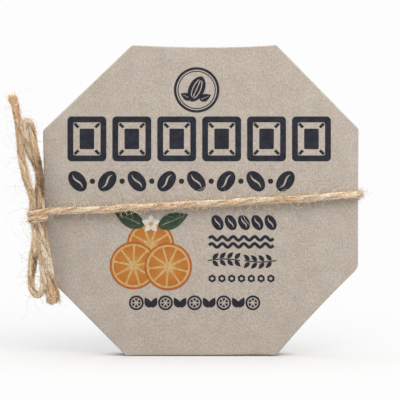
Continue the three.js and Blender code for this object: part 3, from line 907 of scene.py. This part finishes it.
def turned(points, tilt, x, z):
    """Points turned by tilt degrees and moved to a place"""
    c, s = math.cos(math.radians(tilt)), math.sin(math.radians(tilt))
    return np.asarray(points) @ np.array([[c, s], [-s, c]]) + (x, z)


def around(x, z, radius, first=0, last=360, sides=56, squeeze=1.0, tilt=0):
    """Points on a circle, an arc or, with squeeze, an ellipse that is turned by tilt degrees"""
    whole = abs(last - first) == 360
    angle = np.radians(np.linspace(first, last, sides + 1)[: sides if whole else sides + 1])
    return turned(curve(radius * np.cos(angle), radius * squeeze * np.sin(angle)), tilt, x, z)


def ring(x, z, outer, inner, sides=56):
    return [around(x, z, outer, sides=sides), around(x, z, inner, sides=sides)]


def rounded_box(x0, z0, x1, z1, radius):
    corners = ((x1 - radius, z1 - radius, 0), (x0 + radius, z1 - radius, 90),
               (x0 + radius, z0 + radius, 180), (x1 - radius, z0 + radius, 270))
    return np.concatenate([around(x, z, radius, a, a + 90, 6) for x, z, a in corners])


def mirrored(x, half):
    """An outline from its upper half"""
    return np.concatenate([curve(x, half), curve(x, -half)[-2:0:-1]])


def stroke(points, width):
    """The outline of a line drawn with a pen of that width, or of a width at each point"""
    points = np.asarray(points, float)
    along = unit(np.gradient(points, axis=0))
    half = np.asarray(width) / 2 * np.ones(len(points))
    across = half[:, None] * np.stack([-along[:, 1], along[:, 0]], axis=1)
    return np.concatenate([points + across, (points - across)[::-1]])


def leaf_shape(x, z, length, width, tilt, vein=0.0):
    """A pointed leaf from its base, with its middle vein left open"""
    t = np.linspace(0, 1, 15)
    half = width / 2 * np.sin(math.pi * t**0.8) ** 0.9
    half[[0, -1]] = 0
    outlines = [turned(mirrored(length * t, half), tilt, x, z)]
    if vein:
        line = curve(length * np.linspace(0.14, 0.82, 8), 0)
        outlines.append(turned(stroke(line, vein * np.linspace(1, 0.5, 8)), tilt, x, z))
    return outlines


def leaf_pair(x, z, apart, length, width, tilt):
    """Two leaves that lean away from each other"""
    return [leaf_shape(x + side * apart, z, length, width, 90 - side * tilt) for side in (-1, 1)]


def bean_shape(x, z, length, tilt, open_line):
    """A cocoa bean with the wavy line down its middle left open"""
    t = np.linspace(-1, 1, 15)
    line = curve(0.36 * length * t, 0.045 * length * np.sin(math.pi * t))
    return [around(x, z, length / 2, squeeze=0.68, tilt=tilt, sides=40),
            turned(stroke(line, open_line * (1.15 - t**2)), tilt, x, z)]


def shapes_mesh(shapes, lift):
    """Closed flat slabs for shapes, lift millimetres proud of the panel and just into it: points and faces"""
    points, triangles, quads, start = [], [], [], 0
    for outlines in shapes:
        flat = np.concatenate(outlines)
        count = len(flat)
        faces = np.array(tessellate_polygon([[Vector((x, z, 0)) for x, z in o] for o in outlines]))
        a, b, c = (flat[faces[:, k]] for k in range(3))
        turn = (b - a)[:, 0] * (c - a)[:, 1] - (b - a)[:, 1] * (c - a)[:, 0]
        faces[turn < 0] = faces[turn < 0][:, ::-1]
        x, z = flat.T * MM
        ground = FRONT - panel_swell(x, z)
        points += [np.stack([x, ground - lift * MM, z], axis=1), np.stack([x, ground + 0.03 * MM, z], axis=1)]
        triangles += [faces + start, faces[:, ::-1] + start + count]
        first = start
        for number, outline in enumerate(outlines):
            rim = np.arange(first, first + len(outline))
            size = ((outline * np.roll(outline[:, ::-1], -1, axis=0)) @ (1, -1)).sum()
            if (size > 0) == (number > 0):
                rim = rim[::-1]
            beside = np.roll(rim, -1)
            quads.append(np.stack([rim, rim + count, beside + count, beside], axis=1))
            first += len(outline)
        start += 2 * count
    return np.concatenate(points), [np.concatenate(triangles), np.concatenate(quads)]


def print_piece(name, shapes, material, lift=0.03, disc=None):
    """A printed piece. On a disc of x, z and radius, its points hold their share of the radius as rim."""
    points, groups = shapes_mesh(shapes, lift)
    shares = {}
    if disc:
        x, z, radius = disc
        shares["rim"] = np.hypot(points[:, 0] / MM - x, points[:, 2] / MM - z) / radius
    add_piece(name, points, groups, material, shares, crease=30)


def in_row(left, right, count, motif, between=None):
    """Shapes of a motif at even places from left to right, and of another one between them"""
    places = np.linspace(left, right, count)
    shapes = []
    for i, x in enumerate(places):
        shapes += motif(x, i)
        if between and i:
            shapes += between((x + places[i - 1]) / 2)
    return shapes


def inset(box, by):
    x0, z0, x1, z1 = box
    return x0 + by, z0 + by, x1 - by, z1 - by


def chocolate_row():
    """A row of six bevelled pieces of chocolate across the panel"""
    left, right, low, high, gap, pieces = -42.2, 41.2, 61.7, 75.9, 1.9, 6
    width = (right - left - gap * (pieces - 1)) / pieces
    rim, bevel, pen = 1.85, 2.0, 0.9

    def block(x, _):
        outer = (x, low, x + width, high)
        inner = inset(outer, rim)
        face = inset(inner, bevel)
        shapes = [[rounded_box(*outer, 1.3), rounded_box(*inner, 0.6)], [rounded_box(*face, 0.4)]]
        for a, b in ((0, 1), (2, 1), (2, 3), (0, 3)):
            far, near = np.array([inner[a], inner[b]]), np.array([face[a], face[b]])
            shapes.append([stroke([far + (near - far) * share for share in (0.2, 0.82)], pen)])
        return shapes

    return in_row(left, right - width, pieces, block)


def bean_row():
    """A row of cocoa beans with dots between them"""
    height = 55.4
    return in_row(-39.0, 26.8, 8, lambda x, i: [bean_shape(x, height, 7.3, 52 if i % 2 else 128, 0.5)],
                  lambda x: [[around(x, height, 0.85, sides=24)]])


def badge():
    """A round badge with a cocoa pod between two leaves"""
    x, z, radius = -1.3, 84.3, 7.2
    t = np.linspace(-1, 1, 21)
    place = (66, x, z + 0.3)
    pod = mirrored(4.4 * t, 2.5 * (1 - np.abs(t) ** 2.4) ** 0.75)
    ribs = [curve(3.0 * t, side * 2.3 * (1 - 0.6 * np.abs(t) ** 2.2)) for side in (-0.52, 0, 0.52)]
    return [
        ring(x, z, radius, radius - 0.8, 96),
        ring(x, z, radius - 1.15, radius - 1.45, 96),
        [turned(pod, *place), *(turned(stroke(rib, 0.3), *place) for rib in ribs)],
        leaf_shape(x - 1.5, z - 3.0, 4.0, 2.4, 152, 0.2),
        leaf_shape(x + 0.9, z - 3.2, 4.0, 2.4, 24, 0.2),
    ]


def sprig(x, z, length, tilt, leaves=4):
    """A stem with leaves on both sides"""
    t = np.linspace(0, 1, 9)
    shapes = [[turned(stroke(curve(length * t, 0.5 * np.sin(math.pi * t)), 0.36), tilt, x, z)]]
    for i in range(leaves):
        share = (i + 0.7) / (leaves + 0.4)
        for side in (-1, 1):
            foot = (length * share, 0.5 * math.sin(math.pi * share) + 0.3 * side)
            shapes.append(leaf_shape(*turned(foot, tilt, x, z), 2.6, 1.35, tilt + side * 46))
    return shapes


def facts_field():
    """Small beans, two waves, two leafy sprigs and a row of hexagons, to the right of the fruit"""
    shapes = in_row(5.3, 22.1, 5, lambda x, _: [bean_shape(x, 42.3, 5.1, 118, 0.4)])
    t = np.linspace(0, 1, 61)
    for height in (37.3, 35.1):
        shapes.append([stroke(curve(2.6 + 20.4 * t, height + 0.6 * np.sin(6 * TURN * t)), 1.0)])
    shapes += sprig(2.2, 30.3, 10.2, 0) + sprig(24.0, 30.3, 10.2, 180)
    return shapes + in_row(3.6, 22.2, 7, lambda x, _: [[around(x, 24.6, 1.3, sides=6, tilt=30),
                                                        around(x, 24.6, 0.55, sides=6)]])


def round_slice(x, z, radius, pen=0.62, wedges=6):
    """A whole slice of fruit drawn in lines"""
    shapes = [ring(x, z, radius, radius - pen)]
    half = 180 / wedges - 6
    wedge = np.concatenate([around(0, 0, radius - 1.5 * pen, -half, half, 6), [(0.45, 0)]])
    return shapes + [[turned(wedge, 360 / wedges * i + 30, x, z)] for i in range(wedges)]


def slice_row():
    """Whole slices with pairs of leaves between them"""
    height = 16.9
    return in_row(-20.4, 16.5, 5, lambda x, _: round_slice(x, height, 2.35),
                  lambda x: leaf_pair(x, height - 1.5, 0.2, 3.6, 2.1, 28))


# The colour print: three round slices of orange, with leaves and a blossom at the top. x, z, radius and lift

SLICES = [(-15.9, 35.3, 7.5, 0.030), (-21.3, 28.7, 7.5, 0.065), (-10.3, 28.4, 7.5, 0.100)]
BLOSSOM = (-15.8, 41.9)


def flesh_segments(x, z, radius, turn, segments=9):
    """The rounded segments of a round slice"""
    half = 180 / segments - 2.6
    outer = 0.83 * radius
    shoulder = 0.9 * outer * np.array([math.cos(math.radians(half)), math.sin(math.radians(half))])
    rim = around(0, 0, outer, 1.5 - half, half - 1.5, 8)
    segment = np.concatenate([[(0.16 * radius, 0)], [shoulder * (1, -1)], rim, [shoulder]])
    return [[turned(segment, turn + 360 / segments * i, x, z)] for i in range(segments)]


def make_print(looks):
    rows = {"chocolate_row": chocolate_row, "bean_row": bean_row, "badge": badge, "facts_field": facts_field,
            "slice_row": slice_row}
    for name, shapes in rows.items():
        print_piece(f"print_{name}", shapes(), looks["dark_ink"])
    for number, (x, z, radius, lift) in enumerate(SLICES):
        layers = {
            "rind": [[around(x, z, radius, sides=96)]],
            "pith": [[around(x, z, 0.915 * radius, sides=96)]],
            "flesh": flesh_segments(x, z, radius, 11 + 17 * number),
        }
        for layer, (look, shapes) in enumerate(layers.items()):
            print_piece(f"print_slice_{look}_{number + 1}", shapes, looks[f"print_{look}"],
                        lift=lift + 0.01 * layer, disc=(x, z, radius))
    leaves = [leaf_shape(-17.9, 41.2, 10.6, 5.2, 154, 0.3), leaf_shape(-13.6, 41.0, 10.4, 5.0, 22, 0.3)]
    petals = [leaf_shape(*BLOSSOM, 3.0, 1.9, 90 + 72 * i) for i in range(5)]
    heart = [[around(*BLOSSOM, 0.75, sides=24)]]
    print_piece("print_leaves", leaves, looks["print_leaf"], lift=0.13)
    print_piece("print_petals", petals, looks["print_petal"], lift=0.15)
    print_piece("print_blossom_heart", heart, looks["print_pollen"], lift=0.17)


# Materials

def new_material(name, roughness):
    material = bpy.data.materials.new(name)
    material.use_nodes = True
    tree = material.node_tree
    shader = tree.nodes["Principled BSDF"]
    shader.inputs["Roughness"].default_value = roughness
    shader.inputs["Specular IOR Level"].default_value = 0.25
    return material, tree, shader


def node(tree, kind, inputs, output=0, **settings):
    """An output of a new node that has those settings, with its inputs set to values or linked to sockets"""
    made = tree.nodes.new("ShaderNode" + kind)
    for key, value in settings.items():
        setattr(made, key, value)
    for key, value in inputs.items():
        socket = made.inputs[key]
        if isinstance(value, bpy.types.NodeSocket):
            tree.links.new(value, socket)
        else:
            socket.default_value = (*value, 1) if socket.type == "RGBA" else value
    return made.outputs[output]


def math_node(tree, operation, *values):
    return node(tree, "Math", dict(enumerate(values)), operation=operation)


def weighted_sum(tree, *weighted, start=0.0):
    for value, weight in weighted:
        start = math_node(tree, "MULTIPLY_ADD", value, weight, start)
    return start


def object_place(tree):
    return node(tree, "TexCoord", {}, "Object")


def attribute(tree, name):
    return node(tree, "Attribute", {}, "Fac", attribute_name=name)


def noise(tree, size, detail=2.0, roughness=0.5, turn=0.0):
    """Noise with lumps of a size in metres, or of sizes along X, Y and Z, turned about Y"""
    scale = tuple(1 / np.broadcast_to(size, 3))
    place = node(tree, "Mapping", {"Vector": object_place(tree), "Rotation": (0, turn, 0)})
    place = node(tree, "Mapping", {"Vector": place, "Scale": scale})
    return node(tree, "TexNoise", {"Vector": place, "Scale": 1.0, "Detail": detail, "Roughness": roughness},
                "Fac")


def ramp(tree, factor, *stops):
    """A colour ramp through stops of a place and a colour"""
    made = node(tree, "ValToRGB", {"Fac": factor})
    band = made.node.color_ramp
    while len(band.elements) < len(stops):
        band.elements.new(1.0)
    for element, (place, colour) in zip(band.elements, stops):
        element.position = place
        element.color = (*colour, 1)
    return made


def mask(tree, factor, low, high, at_low=0.0, at_high=1.0):
    return ramp(tree, factor, (low, (at_low,) * 3), (high, (at_high,) * 3))


def mix(tree, factor, a, b, blend="MIX"):
    return node(tree, "Mix", {0: factor, 6: a, 7: b}, 2, data_type="RGBA", blend_type=blend)


def set_surface(tree, shader, colour, height, distance):
    """Gives a shader its colour, and a relief of a height from 0 to 1 over a distance"""
    tree.links.new(colour, shader.inputs["Base Color"])
    tree.links.new(node(tree, "Bump", {"Height": height, "Distance": distance}), shader.inputs["Normal"])


def board_grain(tree):
    """The board's fibres as one value about 0.5: lumps a half millimetre wide, upright and slanting streaks,
    and slow clouds"""
    lumps = noise(tree, (0.00050, 0.0005, 0.00062), 2, 0.6)
    upright = noise(tree, (0.00034, 0.0004, 0.0010), 2)
    slanting = noise(tree, (0.00032, 0.0004, 0.0008), 2, turn=0.8)
    clouds = noise(tree, 0.005, 3)
    return weighted_sum(tree, (lumps, 0.44), (upright, 0.2), (slanting, 0.2), (clouds, 0.16))


def speck_mask(tree, spacing, size, share):
    """1 inside specks of that size, where only a share of the cells has one"""
    cells = node(tree, "TexVoronoi", {"Vector": object_place(tree), "Scale": 1 / spacing, "Randomness": 1.0})
    distance, colour = (cells.node.outputs[name] for name in ("Distance", "Color"))
    near = math_node(tree, "LESS_THAN", distance, size / spacing)
    picked = math_node(tree, "LESS_THAN", node(tree, "SeparateColor", {0: colour}), share)
    return math_node(tree, "MULTIPLY", near, picked)


BOARD_DARK = (0.255, 0.215, 0.174)
BOARD_MIDDLE = (0.422, 0.363, 0.301)
BOARD_LIGHT = (0.590, 0.526, 0.454)
BOARD_BLUISH = (0.405, 0.375, 0.355)
BOARD_BROWNISH = (0.41, 0.315, 0.225)
BOARD_WORN_AND_HIGHLIT = (0.62, 0.555, 0.48)
SMALL_SPECK = (0.21, 0.165, 0.12)
LARGE_SPECK = (0.40, 0.26, 0.15)


def board_colour(tree, grain):
    bluish = mask(tree, noise(tree, (0.0007, 0.0007, 0.0009), 2, turn=0.4), 0.52, 0.72, at_high=0.55)
    brownish = mask(tree, noise(tree, (0.0009, 0.0008, 0.0007), 2, turn=-0.5), 0.54, 0.74, at_high=0.5)
    # Lighter board along worn folds; on the upper-left slant this is also a painted highlight along the fold
    worn_and_highlit = math_node(tree, "MULTIPLY", attribute(tree, "wear_and_highlight"), noise(tree, 0.002, 3))
    colour = ramp(tree, grain, (0.29, BOARD_DARK), (0.5, BOARD_MIDDLE), (0.71, BOARD_LIGHT))
    for share, other in ((bluish, BOARD_BLUISH), (brownish, BOARD_BROWNISH),
                         (speck_mask(tree, 0.0021, 0.00017, 0.3), SMALL_SPECK),
                         (speck_mask(tree, 0.011, 0.0003, 0.22), LARGE_SPECK), (worn_and_highlit, BOARD_WORN_AND_HIGHLIT)):
        colour = mix(tree, share, colour, other)
    return colour


def board_material():
    material, tree, shader = new_material("kraft_board", 0.88)
    grain = board_grain(tree)
    set_surface(tree, shader, board_colour(tree, grain), grain, 0.00012)
    return material


# From the painted shade between the strands to the palest fibre
TWINE_COLOURS = [
    (0.02, (0.13, 0.075, 0.040)), (0.20, (0.40, 0.225, 0.105)), (0.36, (0.60, 0.385, 0.203)),
    (0.54, (0.70, 0.51, 0.32)), (0.88, (0.92, 0.80, 0.63)),
]
TWINE_WARMER = (0.96, 0.80, 0.60)
TWINE_SPECK = (0.15, 0.085, 0.045)


def twine_material():
    material, tree, shader = new_material("jute_twine", 0.82)
    patches = noise(tree, 0.0014, 3)
    fine = noise(tree, 0.00035, 2)
    tint = attribute(tree, "tint")
    colour = ramp(tree, weighted_sum(tree, (tint, 0.62), (patches, 0.28), (fine, 0.75), start=-0.25),
                  *TWINE_COLOURS)
    warm = mask(tree, math_node(tree, "ADD", attribute(tree, "warm"), noise(tree, 0.003, 2)), 0.50, 0.75)
    colour = mix(tree, warm, colour, TWINE_WARMER, "MULTIPLY")
    specks = mask(tree, noise(tree, 0.00036, 1), 0.63, 0.69, at_high=0.85)
    set_surface(tree, shader, mix(tree, specks, colour, TWINE_SPECK), fine, 0.00005)
    shader.inputs["Sheen Weight"].default_value = 0.4
    shader.inputs["Sheen Roughness"].default_value = 0.5
    return material


# Inks with patches: the darkest and lightest colour, the patches' size, and how much board shows through
PLAIN_INKS = {
    "dark_ink": ((0.010, 0.0105, 0.017), (0.020, 0.021, 0.031), 0.002, 0.22),
    "print_pith": ((0.48, 0.28, 0.09), (0.52, 0.35, 0.15), 0.0012, 0.25),
    "print_leaf": ((0.016, 0.036, 0.020), (0.042, 0.075, 0.040), 0.0015, 0.3),
    "print_petal": ((0.56, 0.52, 0.46), (0.68, 0.65, 0.59), 0.001, 0.2),
    "print_pollen": ((0.50, 0.27, 0.05), (0.56, 0.34, 0.07), 0.0008, 0.34),
}
# Inks whose colour runs from a slice's middle to its rim, in juicy lumps
RIM_INKS = {
    "print_rind": ((0.0, (0.44, 0.13, 0.024)), (0.92, (0.42, 0.115, 0.022)), (1.0, (0.36, 0.095, 0.02))),
    "print_flesh": ((0.05, (0.46, 0.22, 0.045)), (0.45, (0.43, 0.165, 0.028)), (0.85, (0.41, 0.13, 0.022))),
}
RIM_INK_BARE = 0.25
LUMP_SIZE = 0.0007
LUMP_SHARE = 0.25


def printed_material(name, bare, colour_of):
    """Ink on board: the colour with the board's grain in it, and pinholes where the board shows through"""
    material, tree, shader = new_material(name, 0.7)
    grain = board_grain(tree)
    holes = mask(tree, noise(tree, 0.00022, 2), bare - 0.05, bare + 0.03, 1.0, 0.0)
    lit = math_node(tree, "MULTIPLY_ADD", grain, 0.9, 0.55)
    colour = mix(tree, 1.0, colour_of(tree), lit, "MULTIPLY")
    set_surface(tree, shader, mix(tree, holes, colour, BOARD_MIDDLE), grain, 0.0001)
    return material


def plain_colour(dark, light, size):
    return lambda tree: ramp(tree, noise(tree, size, 3), (0.35, dark), (0.65, light))


def rim_colour(stops):
    def colour_of(tree):
        lumps = weighted_sum(tree, (noise(tree, LUMP_SIZE, 2), 2 * LUMP_SHARE), start=-LUMP_SHARE)
        return ramp(tree, math_node(tree, "ADD", attribute(tree, "rim"), lumps), *stops)
    return colour_of


def print_looks():
    looks = {}
    for name, (dark, light, size, bare) in PLAIN_INKS.items():
        looks[name] = printed_material(name, bare, plain_colour(dark, light, size))
    for name, stops in RIM_INKS.items():
        looks[name] = printed_material(name, RIM_INK_BARE, rim_colour(stops))
    return looks


# Floor, light and background

FLOOR_SIZE = 40.0
WHITE = 0.983
AMBIENT = 0.34
SHADE_COLOUR = (0.96, 0.945, 1.10)
# Soft suns by name: degrees round from the front to the right, degrees up, strength, softness in degrees
SUNS = {
    "from_right": (33, 52, 0.53, 40),
    "from_left": (-52, 46, 0.73, 20),
    "overhead": (178, 84, 1.39, 72),
}
# The floor has suns of its own, and glows a little for the camera
FLOOR_SUNS = {
    "floor_low": (14, 28, 2.40, 60),
    "floor_overhead": (178, 84, 1.16, 72),
}
FLOOR_GLOW = 0.43
GLOW_STARTS_ASIDE = 0.0236
GLOW_FADES_ASIDE = 0.008
GLOW_FADES_IN_FRONT = 0.06
GLOW_FADES_BEHIND = 0.006
# Near soft lights, for the object and for the twine alone: place, size across, power in watts, and colour
NEAR_LIGHTS = {
    "upper_right": ((0.25, -0.23, 0.33), 0.26, 1.14, (0.93, 0.965, 1.0)),
    "left": ((-0.40, -0.12, 0.36), 0.24, 0.55, (1.0, 0.93, 0.84)),
}
TWINE_LIGHT = ((-0.24, -0.42, 0.02), 0.3, 0.27, (1.0, 0.96, 0.91))
NEAR_LIGHTS_AIM = (0, 0, 0.05)


# How much light the suns give a level floor, and the colour that makes it neutral together with the cooler
# ambient light
SUNLIGHT = sum(power * math.sin(math.radians(up)) / math.pi for _, up, power, _ in FLOOR_SUNS.values())
SUN_COLOUR = [1 + AMBIENT / SUNLIGHT * (1 - share) for share in SHADE_COLOUR]


def floor_glow(tree):
    """The floor glows for the camera, which keeps the shadow on it soft, but not at the foot of the pack"""
    x, y = node(tree, "SeparateXYZ", {"Vector": object_place(tree)}).node.outputs[:2]
    aside = math_node(tree, "SUBTRACT", math_node(tree, "ABSOLUTE", x), GLOW_STARTS_ASIDE)
    in_front = math_node(tree, "SUBTRACT", FRONT, y)
    behind = math_node(tree, "SUBTRACT", y, BACK)
    beyond = 0.0
    for distance, fade in ((aside, GLOW_FADES_ASIDE), (in_front, GLOW_FADES_IN_FRONT),
                           (behind, GLOW_FADES_BEHIND)):
        beyond = math_node(tree, "MAXIMUM", beyond, math_node(tree, "DIVIDE", distance, fade))
    seen = node(tree, "LightPath", {}, "Is Camera Ray")
    glow = math_node(tree, "MULTIPLY", seen, FLOOR_GLOW)
    return math_node(tree, "MULTIPLY", glow, math_node(tree, "MINIMUM", beyond, 1.0))


def make_floor():
    points = np.array([(-1, -1, 0), (1, -1, 0), (1, 1, 0), (-1, 1, 0)]) * FLOOR_SIZE / 2
    material, tree, shader = new_material("floor", 1.0)
    shader.inputs["Base Color"].default_value = (*[WHITE / (AMBIENT + SUNLIGHT)] * 3, 1)
    shader.inputs["Specular IOR Level"].default_value = 0
    glow = node(tree, "Emission", {"Color": (1, 1, 1), "Strength": WHITE})
    mixed = node(tree, "MixShader", {0: floor_glow(tree), 1: shader.outputs[0], 2: glow})
    tree.links.new(mixed, tree.nodes["Material Output"].inputs["Surface"])
    floor = add_mesh("floor", points, [np.array([[0, 1, 2, 3]])], material)
    return floor


def add_light(name, kind, place, aim, receivers, **settings):
    """A light that is turned from its place towards another one, and reaches only its receivers"""
    data = bpy.data.lights.new(name, kind)
    for key, value in settings.items():
        setattr(data, key, value)
    light = add_object(name, data, place)
    light.rotation_euler = (Vector(place) - Vector(aim)).to_track_quat("Z", "Y").to_euler()
    light.light_linking.receiver_collection = receivers


def add_sun(name, azimuth, height, strength, softness, receivers):
    a, h = math.radians(azimuth), math.radians(height)
    place = (math.sin(a) * math.cos(h), -math.cos(a) * math.cos(h), math.sin(h))
    add_light(name, "SUN", place, (0, 0, 0), receivers, energy=strength, color=SUN_COLOUR,
              angle=math.radians(softness))


def add_near_light(name, place, size, power, colour, receivers):
    add_light(name, "AREA", place, NEAR_LIGHTS_AIM, receivers, shape="DISK", size=size, energy=power,
              color=colour)


def light_group(name, objects):
    group = bpy.data.collections.new(name)
    for thing in objects:
        group.objects.link(thing)
    return group


def make_lights(floor, twine_look):
    """The floor has its own suns, and the other lights are for the object alone"""
    floor_alone = light_group("lit_by_floor_suns", [floor])
    for name, settings in FLOOR_SUNS.items():
        add_sun(name, *settings, floor_alone)
    all_but_floor = light_group("not_lit_by_other_lights", [floor])
    all_but_floor.collection_objects[0].light_linking.link_state = "EXCLUDE"
    for name, settings in SUNS.items():
        add_sun(name, *settings, all_but_floor)
    for name, settings in NEAR_LIGHTS.items():
        add_near_light(name, *settings, all_but_floor)
    twine = [piece for piece in bpy.context.scene.objects
             if piece.type == "MESH" and piece.data.materials[:] == [twine_look]]
    add_near_light("twine", *TWINE_LIGHT, light_group("lit_by_twine_light", twine))


def make_world():
    world = bpy.data.worlds.new("studio")
    bpy.context.scene.world = world
    world.use_nodes = True
    tree = world.node_tree
    tree.nodes.clear()
    light = node(tree, "Background", {"Color": SHADE_COLOUR, "Strength": AMBIENT})
    backdrop = node(tree, "Background", {"Color": (1, 1, 1), "Strength": WHITE})
    seen = node(tree, "LightPath", {}, "Is Camera Ray")
    mixed = node(tree, "MixShader", {0: seen, 1: light, 2: backdrop})
    tree.links.new(mixed, tree.nodes.new("ShaderNodeOutputWorld").inputs["Surface"])


def make_stage(twine_look):
    bpy.context.scene.view_settings.view_transform = "Standard"
    make_lights(make_floor(), twine_look)
    make_world()


make_camera()
twine_look = twine_material()
make_bow(twine_look)
make_band(twine_look)
make_pack(board_material())
make_print(print_looks())
make_stage(twine_look)
